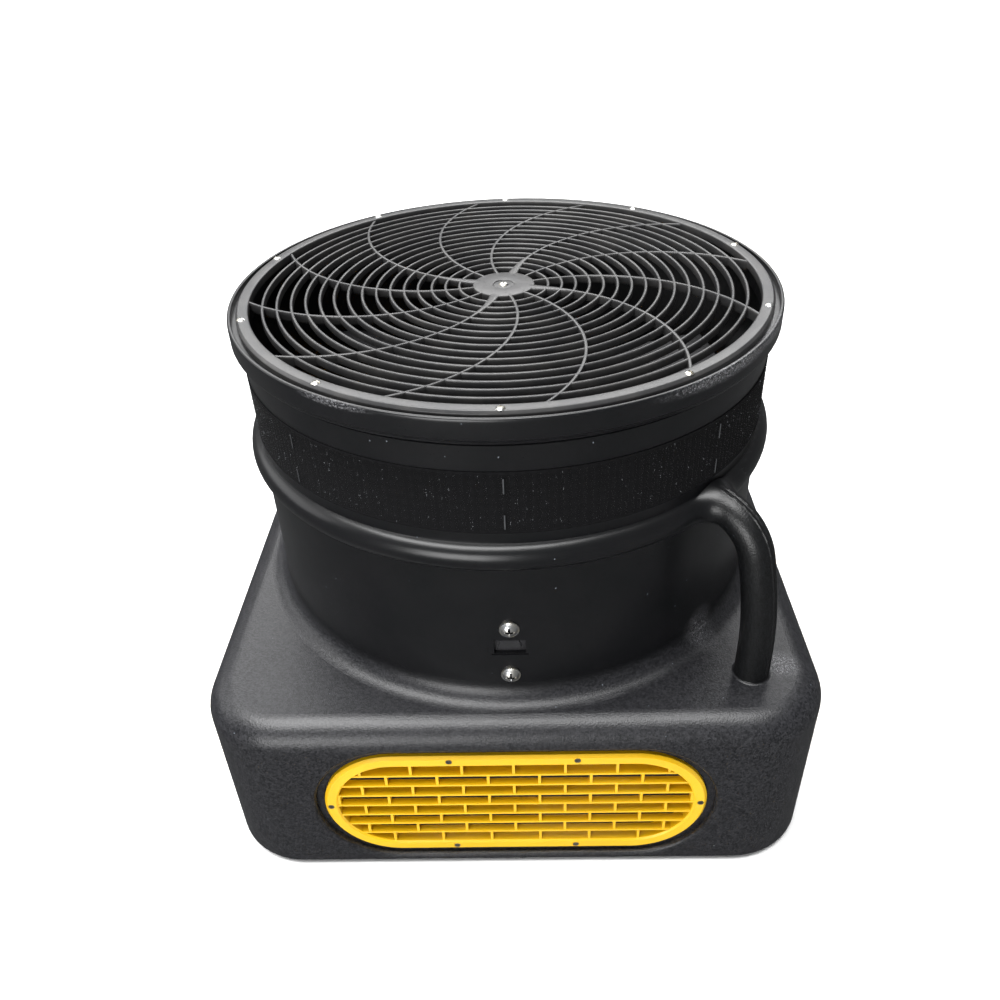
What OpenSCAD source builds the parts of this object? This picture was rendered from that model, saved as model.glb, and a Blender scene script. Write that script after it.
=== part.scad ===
// Floor-standing axial blower: a square hollow base with an intake grille in
// each side, a round duct neck on top with a hook-tape collar, a spiral guard
// over the outlet, and a motor-driven fan held inside by a four-arm bracket.
// Millimetres, +Z up, origin on the floor under the middle of the object.

/* [Base] */
// Width and depth of the square base
base_w = 546; // [520:1:600]
// Height of the base moulding above the feet
base_h = 175; // [170:1:200]
// Plan radius of the base's corners
corner_r = 74; // [60:1:78]
// Rounding of the base's top edge
edge_r = 24; // [18:1:26]
// Wall thickness of the moulding
wall = 5; // [4:0.5:6]

/* [Neck] */
// Outer radius of the tube below the bead
tube_r = 234; // [233:0.5:236]
// Inner radius of the tube
bore_r = 229.5; // [228:0.5:230]
// Outer radius of the neck above the bead
neck_r = 233; // [232:0.5:233]
// Outer radius of the lip
lip_r = 240.8; // [239.5:0.1:242]
// Height of the lip's top edge above the base's underside
lip_h = 454; // [450:1:470]
// Height of the bead's middle above the base's underside
bead_h = 329.5; // [320:0.5:335]
// Radius of the bead's section
bead_r = 12.8; // [10:0.1:14]
// Width of the hook tape
tape_w = 55; // [40:1:60]

/* [Guard] */
// Number of rings in the guard
ring_count = 15; // [10:1:15]
// Number of spiral ribs in the guard
rib_count = 12; // [6:1:12]
// Number of screws that hold the guard
guard_screw_count = 10; // [6:1:12]

/* [Intake grilles] */
// Length of a grille insert
grille_w = 338; // [320:1:340]
// Height of a grille insert
grille_h = 130; // [120:1:131]
// Spacing of the slats
slat_pitch = 13.3; // [12:0.1:13.3]

/* [Fan and motor] */
// Radius of the fan at the blade tips
fan_r = 221; // [200:1:222]
// Number of blades
blade_count = 6; // [4:1:7]
// Pitch of the blades in degrees
blade_pitch = 27; // [20:1:32]
// Outer radius of the motor can
motor_r = 80; // [70:1:80]
// Radius of the motor shaft
shaft_r = 8; // [8:1:9]

/* [Handles] */
// Radius of the round handle bar
handle_r = 14.5; // [12:0.5:15]

/* [Hidden] */
$fn = 96;

// Small overlap that keeps cuts clean
eps = 0.01;
// Radial clearance of parts that turn on each other
running_gap = 0.05;
// Gap between a fastener and its hole
hole_gap = 0.05;
foot_h = 6;
foot_r = 22;
foot_at = base_w / 2 - 62;
shell_z = foot_h;
base_top = shell_z + base_h;
plate_t = 4;
plate_top = shell_z + plate_t;

// Lip and guard seat
lip_top = shell_z + lip_h;
seat_z = lip_top - 5;
lip_wall = 3;
seat_r = lip_r - lip_wall;
flange_r = 223.5;
guard_rim_in = 222.5;
guard_rim_out = 233.4;
guard_top = lip_top + 2;
guard_screw_at = 229;
ring_first = 39.5;
ring_step = 12.25;
hub_disc_r = 27.5;
// Each rib is an arc of this radius about a point this far from the middle
rib_arc_r = 147;
rib_centre_at = 151.2;
rib_centre_turn = -75.5;
rib_from = 7.2;
rib_to = 95.5;
rib_w = 2.3;
rib_first = 12.5;
rib_z = guard_top - 10;
rib_h = 5;

// Tape
tape_z = shell_z + 351.8;
tape_r = neck_r + 1.6;

// Grille insert: distances are measured outwards from the stadium's middle line
grille_z = shell_z + 77.7;
spine = (grille_w - grille_h) / 2;
insert_out = grille_h / 2;
insert_in = insert_out - 11.8;
recess_u = insert_out + 7.5;
// Width and depth of the rounded lip round the recess
recess_lip_w = 3.5;
recess_lip_d = 4;
ledge_u = insert_out + 1;
open_u = insert_in + 3.3;
pad_u = recess_u + 6;
face_depth = 1.5;
recess_depth = 6.5;
flange_t = 7;
pad_depth = 13;
tunnel_depth = 15;
slat_t = 2;
divider_step = 44.5;
divider_w = 2.4;
screw_u = (insert_in + insert_out) / 2 + 0.4;

// Bracket, at the heights of its screws above the base's underside
arm_count = 4;
bracket_low_z = shell_z + 204.1;
bracket_high_z = shell_z + 255.7;
bracket_z = (bracket_low_z + bracket_high_z) / 2;
bracket_hole_r = 3.1;
arm_t = 4;
arm_h = 40;
ring_h = 46;
foot_plate_t = 3;
foot_plate_w = 44;
foot_plate_h = 76;
slot_w = 26;
slot_h = 15.3;
slot_z = shell_z + 226.9;

// Motor, centred on the bracket
can_h = 100;
can_z = bracket_z - can_h / 2;
can_t = 5;
bell_t = 6;
boss_h = 10;
stack_h = 60;
bearing_r = 17.5;
bearing_h = 11;
clamp_t = 4;
tie_bolt_at = motor_r + 8;
mount_turn = 24;
rotor_r = 42;
shaft_low = can_z - 14;

// Fan
hub_r = 65;
hub_h = 60;
hub_z = can_z + can_h + 26;
hub_top = hub_z + hub_h;
thread_r = 6;
shaft_top = hub_top + 22;

// Handle, drawn in the plane of radius and height
handle_turns = [-45, 135];
bend_in_r = 43.5;
bend_in_at = [240, shell_z + 287];
bend_in_end = 15;
bend_out_r = 379;
handle_foot_at = bend_in_at[0] + (bend_in_r - bend_out_r) * cos(bend_in_end) + bend_out_r;
handle_foot_z = bend_in_at[1] + (bend_in_r - bend_out_r) * sin(bend_in_end);

// Switch box, on the tube at this turn
box_turn = 45;
box_w = 76;
box_z = 208;
box_h = 92;
box_face = 284;
box_wall = 4;
lid_t = 5;
lid_face = box_face + lid_t;
switch_z = box_z + 58;
gland_z = box_z + 24;
gland_at = 262;
gland_bore_r = 4.5;
lead_r = 4;
lead_y = 7;
lead_run_r = bore_r - lead_r - 4.5;
rocker_tilt = 9;
pin_r = 1.5;

black_plastic = [0.09, 0.09, 0.10];
soft_black = [0.13, 0.13, 0.14];
yellow_plastic = [0.89, 0.75, 0.08];
zinc = [0.78, 0.79, 0.80];
cast_grey = [0.45, 0.46, 0.48];
rubber_black = [0.05, 0.05, 0.05];
copper = [0.72, 0.40, 0.20];

// ---- shared shapes ----

// Section of a block edge: straight sides with a rounded top outer corner
module edge_section(r, h, e) {
    square([r - e, h]);
    square([r, h - e]);
    translate([r - e, h - e]) circle(e);
}

// A block with round plan corners and a rounded top edge
module soft_block(w, h, r, e) {
    half = w / 2 - r;
    for (k = [0:3])
        rotate([0, 0, 90 * k]) {
            translate([half, half, 0]) rotate_extrude(angle = 90) edge_section(r, h, e);
            translate([-half, 0, 0]) rotate([90, 0, 90]) linear_extrude(2 * half)
                edge_section(w / 2, h, e);
        }
}

// Flat stadium, u from its middle line
module stadium(u) {
    square([2 * spine, 2 * u], center = true);
    for (s = [-1, 1]) translate([s * spine, 0]) circle(u);
}

// A stadium cut or plate in a side wall, between two depths below the base's face
module wall_stadium(u, from, to) {
    translate([0, -base_w / 2 + from, grille_z]) rotate([-90, 0, 0]) linear_extrude(to - from)
        stadium(u);
}

// Carries a section (u outwards, depth upwards) round the stadium
module round_stadium() {
    for (s = [0, 180]) rotate([0, 0, s]) {
        translate([spine, 0, 0]) rotate([0, 0, -90]) rotate_extrude(angle = 180) children();
        translate([-spine, 0, 0]) rotate([90, 0, 90]) linear_extrude(2 * spine) children();
    }
}

// Cut that rounds the housing's edge round a recess, in three flats
module recess_lip() {
    translate([0, -base_w / 2, grille_z]) rotate([-90, 0, 0]) round_stadium()
        translate([recess_u, 0]) polygon([[-1, -1], [recess_lip_w, -1], [recess_lip_w, 0],
            [recess_lip_w * 0.5, recess_lip_d * 0.15], [recess_lip_w * 0.15, recess_lip_d * 0.5],
            [0, recess_lip_d], [-1, recess_lip_d]]);
}

// Repeats its children on the four sides
module on_sides() {
    for (k = [0:3]) rotate([0, 0, 90 * k]) children();
}

// The six screw places of one grille
module at_grille_screws() {
    for (s = [-1, 1]) {
        for (t = [-1, 1]) translate([s * 54.7, -base_w / 2, grille_z + t * screw_u]) children();
        translate([s * (spine + screw_u), -base_w / 2, grille_z]) children();
    }
}

// Repeats its children at the bracket's arms, arm along +X
module on_arms() {
    for (k = [0:arm_count - 1]) rotate([0, 0, -90 + 360 / arm_count * k]) children();
}

// Both screw heights of one arm, hole along +X from the axis
module at_bracket_holes() {
    for (z = [bracket_low_z, bracket_high_z]) translate([0, 0, z]) rotate([0, 90, 0]) children();
}

// The screw places of the base plate
module at_plate_screws() {
    on_sides() for (s = [-1, 1]) translate([s * 197, -base_w / 2 + 14, 0]) children();
}

// The four foot places
module at_feet() {
    for (sx = [-1, 1], sy = [-1, 1]) translate([sx * foot_at, sy * foot_at, 0]) children();
}

// Round-headed screw pointing down, the underside of its head at z = 0
module pan_screw(head_r, head_h, body_r, length) {
    dome = (head_r * head_r + head_h * head_h) / (2 * head_h);
    difference() {
        union() {
            intersection() {
                translate([0, 0, head_h - dome]) sphere(dome);
                cylinder(r = head_r, h = head_h);
            }
            translate([0, 0, -length]) cylinder(r = body_r, h = length + eps);
        }
        cross_recess(head_r * 0.62, head_h);
    }
}

// Countersunk screw pointing down, the flat of its head at z = 0
module flat_screw(head_r, body_r, length) {
    sink = head_r - body_r;
    difference() {
        union() {
            translate([0, 0, -sink]) cylinder(r1 = body_r, r2 = head_r, h = sink);
            translate([0, 0, -length]) cylinder(r = body_r, h = length - sink + eps);
        }
        cross_recess(head_r * 0.6, 0);
    }
}

// The cross in a screw head
module cross_recess(reach, top) {
    for (turn = [0, 90]) rotate([0, 0, turn])
        translate([-reach, -reach * 0.18, top - reach * 0.6])
            cube([2 * reach, reach * 0.36, reach * 0.6 + 1]);
}

// ---- housing ----

// Right half of the neck's section: tube, foot blend, bead, neck and lip
module neck_section() {
    blend = 18;
    translate([bore_r, base_top - wall]) square([tube_r - bore_r, bead_h + shell_z - base_top + wall]);
    difference() {
        translate([bore_r + 1, base_top - wall]) square([tube_r + blend - bore_r - 1, blend + wall]);
        translate([tube_r + blend, base_top + blend]) circle(blend);
    }
    difference() {
        translate([lip_r - 10.7, shell_z + bead_h]) circle(bead_r);
        translate([bore_r - 20, shell_z]) square([20, 2 * bead_h]);
    }
    polygon([[bore_r, shell_z + bead_h], [neck_r, shell_z + bead_h], [neck_r, lip_top - 26],
        [neck_r - 1.2, lip_top - 25.4], [neck_r - 1.2, lip_top - 23], [neck_r + 1, lip_top - 22],
        [lip_r - 2.8, lip_top - 21.3], [lip_r - 1.6, lip_top - 19], [lip_r, lip_top - 17],
        [lip_r, lip_top - 3.4], [lip_r - 0.4, lip_top - 1.7], [lip_r - 1.2, lip_top - 0.6],
        [lip_r - 2.2, lip_top], [seat_r, lip_top - 0.5], [seat_r, seat_z],
        [flange_r, seat_z], [flange_r, seat_z - 12], [bore_r, seat_z - 18]]);
}

// One round handle in the plane y = 0, from the bead down to the base. Its four
// stretches run a little way into each other, every other one a hair thinner
module handle() {
    thin_r = handle_r - 0.05;
    lap = 1;
    lap_turn = atan(lap / bend_out_r);
    translate([bore_r + 2, 0, bend_in_at[1] + bend_in_r]) rotate([0, 90, 0])
        cylinder(r = thin_r, h = bend_in_at[0] - bore_r - 2 + lap);
    translate([bend_in_at[0], 0, bend_in_at[1]]) rotate([90, 0, 0])
        rotate([0, 0, bend_in_end]) rotate_extrude(angle = 90 - bend_in_end)
            translate([bend_in_r, 0]) circle(handle_r);
    translate([handle_foot_at - bend_out_r, 0, handle_foot_z]) rotate([90, 0, 0])
        rotate([0, 0, -lap_turn]) rotate_extrude(angle = bend_in_end + 2 * lap_turn)
            translate([bend_out_r, 0]) circle(thin_r);
    translate([handle_foot_at, 0, 0]) rotate_extrude() handle_foot_section();
}

// Half section of the handle's straight foot, with a blend into the base's top
module handle_foot_section() {
    blend = 2.5;
    translate([0, base_top - wall]) square([handle_r, handle_foot_z - base_top + wall]);
    difference() {
        translate([handle_r - 1, base_top - wall]) square([blend + 1, blend + wall]);
        translate([handle_r + blend, base_top + blend]) circle(blend);
    }
}

module housing_shell() {
    color(black_plastic) difference() {
        union() {
            difference() {
                union() {
                    translate([0, 0, shell_z]) soft_block(base_w, base_h, corner_r, edge_r);
                    for (turn = handle_turns) rotate([0, 0, turn]) handle();
                }
                translate([0, 0, shell_z - 1])
                    soft_block(base_w - 2 * wall, base_h - wall + 1, corner_r - wall, edge_r - wall);
                translate([0, 0, base_top - wall - 1]) cylinder(r = bore_r + 1, h = 400);
            }
            rotate_extrude() neck_section();
            on_sides() intersection() {
                wall_stadium(pad_u, wall - 1, pad_depth);
                translate([-base_w / 2, -base_w / 2, plate_top + 1]) cube([base_w, 40, base_h - 30]);
            }
            intersection() {
                at_plate_screws() translate([0, 0, plate_top]) cylinder(r = 9.5, h = 34);
                translate([0, 0, shell_z]) soft_block(base_w - 2, base_h, corner_r - 1, edge_r);
            }
        }
        on_sides() {
            wall_stadium(recess_u, -1, recess_depth);
            recess_lip();
            wall_stadium(ledge_u, 0, face_depth + flange_t);
            wall_stadium(open_u, 0, pad_depth + 1);
            at_grille_screws() rotate([-90, 0, 0]) cylinder(r = 1.5, h = pad_depth);
        }
        at_plate_screws() translate([0, 0, plate_top - 1]) cylinder(r = 2.1, h = 26);
        on_arms() {
            at_bracket_holes() cylinder(r = bracket_hole_r, h = tube_r + 5);
            translate([tube_r - 20, -slot_w / 2, slot_z]) cube([40, slot_w, slot_h]);
            translate([tube_r - 1.4, -slot_w / 2 - 2.5, slot_z - 1.2]) cube([5, slot_w + 5, 1.21]);
        }
        for (k = [0:guard_screw_count - 1]) rotate([0, 0, 360 / guard_screw_count * k - 90])
            translate([guard_screw_at, 0, seat_z - 10]) cylinder(r = 1.75, h = 12);
        rotate([0, 0, box_turn]) {
            translate([tube_r - 20, 0, bracket_z]) rotate([0, 90, 0]) cylinder(r = 8, h = 24);
            for (s = [-1, 1]) translate([tube_r - 20, s * 20, box_z + 10]) rotate([0, 90, 0])
                cylinder(r = 2, h = 24);
        }
    }
}

// Flat plate that closes the base, with a short rim for stiffness
module base_plate() {
    plate_w = base_w - 2 * wall - 1;
    color(soft_black) difference() {
        translate([0, 0, shell_z]) soft_block(plate_w, plate_t, corner_r - wall, 1);
        at_plate_screws() translate([0, 0, shell_z - 1]) {
            cylinder(r = 2.2, h = 20);
            cylinder(r1 = 5.2, r2 = 2.2, h = 3);
        }
        at_feet() translate([0, 0, shell_z - 1]) cylinder(r = 2.5, h = 20);
    }
}

module base_plate_screws() {
    color(zinc) at_plate_screws() translate([0, 0, shell_z]) mirror([0, 0, 1]) flat_screw(4.1, 2.05, 24);
}

// One rubber foot with a recess for its screw
module foot(sx, sy) {
    color(rubber_black) translate([sx * foot_at, sy * foot_at, 0]) difference() {
        union() {
            cylinder(r1 = foot_r - 2, r2 = foot_r, h = 2);
            translate([0, 0, 2 - eps]) cylinder(r = foot_r, h = foot_h - 2 + eps);
        }
        translate([0, 0, -1]) cylinder(r = 6, h = 4);
        cylinder(r = 2.5, h = 20);
    }
}

module foot_screws() {
    color(zinc) at_feet() translate([0, 0, 3]) mirror([0, 0, 1]) pan_screw(4.8, 2, 2.4, 12);
}

// ---- outlet guard ----

// Height of a ring's top: the guard dips gently towards its middle
function ring_top(r) = guard_top - 3.7 + 2.5 * (r - hub_disc_r) / (guard_rim_in - hub_disc_r);

// Direction and distance of a point on a rib, by its turn about the rib's centre
function rib_point(a, r) = [
    rib_centre_at * cos(rib_centre_turn) + r * cos(a),
    rib_centre_at * sin(rib_centre_turn) + r * sin(a)];

// One spiral rib that leaves the hub along +X
module rib() {
    centre = rib_point(0, 0);
    translate([centre[0], centre[1], rib_z]) rotate([0, 0, rib_from])
        rotate_extrude(angle = rib_to - rib_from)
            translate([rib_arc_r - rib_w / 2, 0]) square([rib_w, rib_h]);
}

// Thick tapering root on every third rib: it starts wide at the hub and ends inside the rib
module rib_root() {
    steps = 8;
    reach = 18;
    start = rib_to - 1;
    outline = [for (side = [1, -1], i = [0:steps])
        let(t = side > 0 ? i / steps : 1 - i / steps)
        rib_point(start - reach * t, rib_arc_r + side * (rib_w / 2 + 3.2 - 3.6 * t))];
    translate([0, 0, rib_z + 0.2]) linear_extrude(rib_h - 0.4) polygon(outline);
}

module outlet_guard() {
    color(soft_black) difference() {
        union() {
            rotate_extrude() polygon([[guard_rim_in, seat_z], [guard_rim_out, seat_z],
                [guard_rim_out, guard_top - 2.4], [guard_rim_out - 1.8, guard_top],
                [guard_rim_in + 1.2, guard_top], [guard_rim_in, guard_top - 1.2]]);
            for (k = [0:ring_count - 1]) {
                r = ring_first + ring_step * k;
                top = ring_top(r);
                rotate_extrude() {
                    translate([r - 1.1, rib_z + 2]) square([2.2, top - 1.1 - rib_z - 2]);
                    translate([r, top - 1.1]) circle(1.1);
                }
            }
            intersection() {
                for (k = [0:rib_count - 1]) rotate([0, 0, rib_first + 360 / rib_count * k]) rib();
                translate([0, 0, rib_z - 1]) cylinder(r = guard_rim_in + 0.7, h = 20);
            }
            for (k = [0:3]) rotate([0, 0, rib_first + 60 + 90 * k]) rib_root();
            rotate_extrude() polygon([[0, rib_z], [hub_disc_r, rib_z], [hub_disc_r, guard_top - 4.7],
                [hub_disc_r - 1, guard_top - 3.7], [10, guard_top - 3.7], [9, guard_top - 4.2],
                [0, guard_top - 4.2]]);
        }
        for (k = [0:guard_screw_count - 1]) rotate([0, 0, 360 / guard_screw_count * k - 90])
            translate([guard_screw_at, 0, seat_z - 1]) cylinder(r = 1.9, h = 20);
        translate([0, 0, rib_z - 1]) cylinder(r = 2.1, h = 20);
    }
}

module guard_screws() {
    color(zinc) for (k = [0:guard_screw_count - 1]) rotate([0, 0, 360 / guard_screw_count * k - 90])
        translate([guard_screw_at, 0, guard_top]) pan_screw(3.6, 1.6, 1.7, 14);
}

module guard_hub_screw() {
    color(zinc) translate([0, 0, guard_top - 4.2]) pan_screw(4.4, 2, 2.05, 12);
}

module guard_hub_nut() {
    color(zinc) translate([0, 0, rib_z - 3.2]) difference() {
        cylinder(r = 4, h = 3.2, $fn = 6);
        translate([0, 0, -1]) cylinder(r = 2.05, h = 6);
    }
}

// ---- intake grilles ----

// Section of the insert's rim: u outwards, depth upwards
module rim_section() {
    polygon([[insert_in + 1.5, 0], [insert_out - 2.5, 0], [insert_out, 2.5], [insert_out, flange_t],
        [insert_in + 3, flange_t], [insert_in + 3, tunnel_depth], [insert_in, tunnel_depth],
        [insert_in, 1.5]]);
}

// One insert, face down at depth 0
module grille_insert() {
    round_stadium() rim_section();
    intersection() {
        union() {
            for (k = [1:7]) {
                deep = (k == 6 || k % 2 == 0 || k == 7) ? 6.6 : 10;
                translate([-grille_w / 2, (4 - k) * slat_pitch - slat_t / 2, 1.2])
                    cube([grille_w, slat_t, deep]);
            }
            for (row = [1:8], n = [-4:4]) {
                shift = row % 2 == 0 ? 0.5 : 0;
                translate([(n + shift) * divider_step - divider_w / 2,
                        (4 - row) * slat_pitch, 1.6])
                    cube([divider_w, slat_pitch, 6]);
            }
        }
        translate([0, 0, 0.5]) linear_extrude(12) stadium(insert_in + 1);
    }
}

module intake_grille(turn) {
    color(yellow_plastic) rotate([0, 0, turn]) difference() {
        translate([0, -base_w / 2 + face_depth, grille_z]) rotate([-90, 0, 0]) mirror([0, 1, 0])
            grille_insert();
        at_grille_screws() rotate([-90, 0, 0]) {
            cylinder(r = 1.6, h = pad_depth);
            translate([0, 0, face_depth - eps]) cylinder(r1 = 3, r2 = 1.6, h = 1.4);
        }
    }
}

module grille_screws() {
    color(cast_grey) on_sides() at_grille_screws()
        rotate([90, 0, 0]) translate([0, 0, -face_depth - 0.1]) flat_screw(2.8, 1.45, 9.5);
}

// ---- collar ----

module hook_tape() {
    color(rubber_black) translate([0, 0, tape_z]) rotate_extrude()
        translate([neck_r, 0]) square([tape_r - neck_r, tape_w]);
}

// Wire staples that pin the tape, two at each place
module tape_staples() {
    color(zinc) for (k = [0:7]) rotate([0, 0, -90 + 45 * k]) for (z = [5, tape_w - 18])
        translate([tape_r + eps, -0.5, tape_z + z]) cube([0.6, 1, 13]);
}

// ---- motor bracket ----

// One foot plate, bent to the tube, with a locating tab that shows in the tube's slot
module foot_plate() {
    intersection() {
        difference() {
            cylinder(r = bore_r - hole_gap, h = 400);
            cylinder(r = bore_r - foot_plate_t, h = 400);
        }
        translate([bore_r - 20, -foot_plate_w / 2, bracket_z - foot_plate_h / 2])
            cube([40, foot_plate_w, foot_plate_h]);
    }
    translate([bore_r - 2, 0, slot_z + 4]) rotate([90, 0, 90]) linear_extrude(3.2)
        polygon([[-9.5, 0], [9.5, 0], [7.5, 8.5], [-7.5, 8.5]]);
}

module motor_bracket() {
    color(cast_grey) difference() {
        union() {
            translate([0, 0, bracket_z - ring_h / 2]) cylinder(r = motor_r + clamp_t, h = ring_h);
            on_arms() {
                translate([motor_r + 1, -arm_t / 2, bracket_z - arm_h / 2])
                    cube([bore_r - motor_r - foot_plate_t, arm_t, arm_h]);
                foot_plate();
            }
        }
        translate([0, 0, bracket_z - ring_h]) cylinder(r = motor_r, h = 2 * ring_h);
        on_arms() at_bracket_holes() translate([0, 0, bore_r - 6]) cylinder(r = 2.6, h = 12);
        at_mount_screws() cylinder(r = 2.5, h = motor_r + 10);
        lead_hole();
    }
}

// Hole for the motor lead, through the can and the bracket's ring
module lead_hole() {
    translate([motor_r - 10, lead_y, bracket_z]) rotate([0, 90, 0]) cylinder(r = lead_r + 0.5, h = 20);
}

// Places of the short screws between the bracket's ring and the motor can
module at_mount_screws() {
    for (k = [0:3]) rotate([0, 0, mount_turn + 90 * k]) translate([0, 0, bracket_z])
        rotate([0, 90, 0]) rotate([0, 0, 45]) children();
}

module motor_mount_screws() {
    color(zinc) at_mount_screws() translate([0, 0, motor_r + clamp_t + 0.2]) pan_screw(4.6, 2.6, 2.45, 8);
}

module bracket_screws() {
    color(zinc) on_arms() at_bracket_holes() translate([0, 0, tube_r + 1.7]) pan_screw(7.2, 4.2, 2.55, 18);
}

module bracket_washers() {
    color(zinc) on_arms() at_bracket_holes() translate([0, 0, tube_r + 0.1]) difference() {
        cylinder(r = 8.2, h = 1.6);
        translate([0, 0, -1]) cylinder(r = 2.7, h = 4);
    }
}

module bracket_nuts() {
    color(zinc) on_arms() at_bracket_holes() translate([0, 0, bore_r - foot_plate_t - 5.4]) difference() {
        cylinder(r = 5.2, h = 5, $fn = 6);
        translate([0, 0, -1]) cylinder(r = 2.6, h = 8);
    }
}

// ---- motor ----

module motor_can() {
    color(soft_black) difference() {
        translate([0, 0, can_z]) cylinder(r = motor_r, h = can_h);
        translate([0, 0, can_z - 1]) cylinder(r = motor_r - can_t, h = can_h + 2);
        at_mount_screws() cylinder(r = 2.5, h = motor_r + 10);
        lead_hole();
    }
}

// Turns and places a shape made for the upper end so that it serves the lower end
module lower_end() {
    translate([0, 0, 2 * bracket_z]) mirror([0, 0, 1]) children();
}

// End bell: a plate with four bolt ears and a bearing boss
module end_bell() {
    end_z = can_z + can_h;
    difference() {
        union() {
            translate([0, 0, end_z]) cylinder(r = motor_r, h = bell_t);
            translate([0, 0, end_z]) cylinder(r1 = 30, r2 = 24, h = bell_t + boss_h - 2);
            for (k = [0:3]) rotate([0, 0, 45 + 90 * k]) translate([0, 0, end_z]) {
                translate([tie_bolt_at, 0, 0]) cylinder(r = 7, h = bell_t);
                translate([motor_r - 10, -7, 0]) cube([tie_bolt_at - motor_r + 10, 14, bell_t]);
            }
        }
        translate([0, 0, end_z - 1]) cylinder(r = bearing_r, h = bearing_h + 1);
        cylinder(r = shaft_r + 1.5, h = 400);
        for (k = [0:3]) rotate([0, 0, 45 + 90 * k]) translate([tie_bolt_at, 0, 0]) cylinder(r = 3.1, h = 400);
    }
}

module motor_end_bell_upper() {
    color(cast_grey) end_bell();
}

module motor_end_bell_lower() {
    color(cast_grey) lower_end() end_bell();
}

// Long bolts that clamp the two end bells on the can, nut at the lower end
module motor_tie_bolts() {
    color(zinc) for (k = [0:3]) rotate([0, 0, 45 + 90 * k]) translate([tie_bolt_at, 0, can_z - bell_t]) {
        translate([0, 0, -10]) cylinder(r = 3, h = can_h + 2 * bell_t + 10.5);
        translate([0, 0, can_h + 2 * bell_t]) cylinder(r = 5.5, h = 4, $fn = 6);
        translate([0, 0, -5]) cylinder(r = 5.5, h = 5, $fn = 6);
    }
}

module stator_core() {
    color(cast_grey) translate([0, 0, bracket_z - stack_h / 2]) difference() {
        cylinder(r = motor_r - can_t, h = stack_h);
        translate([0, 0, -1]) cylinder(r = rotor_r + 1, h = stack_h + 2);
        for (k = [0:3]) rotate([0, 0, mount_turn + 90 * k]) translate([motor_r - can_t - 3, -4, -1])
            cube([6, 8, stack_h + 2]);
        rotate([0, 0, atan2(lead_y, motor_r)]) translate([motor_r - can_t - 6, -7, -1])
            cube([10, 14, stack_h + 2]);
    }
}

module stator_windings() {
    color(copper) for (z = [bracket_z - stack_h / 2 - 9, bracket_z + stack_h / 2 + 9])
        translate([0, 0, z]) rotate_extrude() translate([58, 0]) {
            square([10, 18], center = true);
            for (s = [-1, 1]) translate([5 * s, 0]) square([8, 14], center = true);
        }
}

// Ball bearing drawn as one closed ring
module bearing() {
    translate([0, 0, can_z + can_h]) difference() {
        cylinder(r = bearing_r, h = bearing_h);
        translate([0, 0, -1]) cylinder(r = shaft_r + running_gap, h = bearing_h + 2);
        for (z = [-1, bearing_h - 0.8]) translate([0, 0, z]) difference() {
            cylinder(r = bearing_r - 3, h = 1.8);
            translate([0, 0, -1]) cylinder(r = shaft_r + 3, h = 4);
        }
    }
}

module bearing_upper() {
    color(zinc) bearing();
}

module bearing_lower() {
    color(zinc) lower_end() bearing();
}

module motor_shaft() {
    color(zinc) difference() {
        union() {
            translate([0, 0, shaft_low]) cylinder(r = shaft_r, h = hub_top - shaft_low);
            translate([0, 0, hub_top - 1]) cylinder(r = thread_r, h = shaft_top - hub_top + 1);
        }
        translate([shaft_r - 2, -2, hub_top - 30]) cube([6, 4, 29]);
    }
}

module rotor_core() {
    color(cast_grey) translate([0, 0, bracket_z - stack_h / 2]) difference() {
        union() {
            cylinder(r = rotor_r, h = stack_h);
            translate([0, 0, -6]) cylinder(r = rotor_r - 4, h = stack_h + 12);
        }
        translate([0, 0, -10]) cylinder(r = shaft_r, h = stack_h + 20);
    }
}

module shaft_key() {
    color(zinc) translate([shaft_r - 2, -2, hub_top - 30]) cube([4, 4, 28]);
}

// ---- fan ----

// Hub: a cup over the motor's upper boss, with a bored middle
module fan_hub() {
    color(soft_black) translate([0, 0, hub_z]) difference() {
        rotate_extrude() edge_section(hub_r, hub_h, 6);
        difference() {
            translate([0, 0, -1]) cylinder(r = hub_r - 5, h = hub_h - 5);
            translate([0, 0, 10]) cylinder(r = 18, h = hub_h);
            for (k = [0:5]) rotate([0, 0, 60 * k]) translate([10, -2, 16]) cube([hub_r - 14, 4, hub_h]);
        }
        translate([0, 0, -1]) cylinder(r = shaft_r, h = hub_h + 2);
        translate([shaft_r - 2, -2, -1]) cube([4, 4, hub_h + 2]);
    }
}

// One cambered blade along +X
module blade() {
    camber_r = 165;
    blade_t = 2.6;
    chord = 118;
    intersection() {
        difference() {
            translate([0, 0, -60]) cylinder(r = fan_r, h = 120);
            translate([0, 0, -61]) cylinder(r = hub_r, h = 122);
        }
        rotate([90, 0, 90]) linear_extrude(fan_r + 5) rotate([0, 0, blade_pitch])
            intersection() {
                translate([0, -camber_r + 6]) difference() {
                    circle(camber_r, $fn = 180);
                    circle(camber_r - blade_t, $fn = 180);
                }
                square([chord, 40], center = true);
            }
        linear_extrude(200, center = true)
            polygon([[hub_r - 10, -34], [fan_r + 5, -54], [fan_r + 5, 46], [hub_r - 10, 34]]);
    }
}

module fan_blades() {
    color(soft_black) translate([0, 0, hub_z + hub_h / 2 - 4])
        for (k = [0:blade_count - 1]) rotate([0, 0, 15 + 360 / blade_count * k]) blade();
}

module fan_washer() {
    color(zinc) translate([0, 0, hub_top]) difference() {
        cylinder(r = 14, h = 2.5);
        translate([0, 0, -1]) cylinder(r = thread_r, h = 5);
    }
}

module fan_nut() {
    color(zinc) translate([0, 0, hub_top + 2.5]) difference() {
        cylinder(r = 11, h = 10, $fn = 6);
        translate([0, 0, -1]) cylinder(r = thread_r, h = 12);
    }
}

// ---- switch box, drawn with the tube's radius along +X ----

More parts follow.
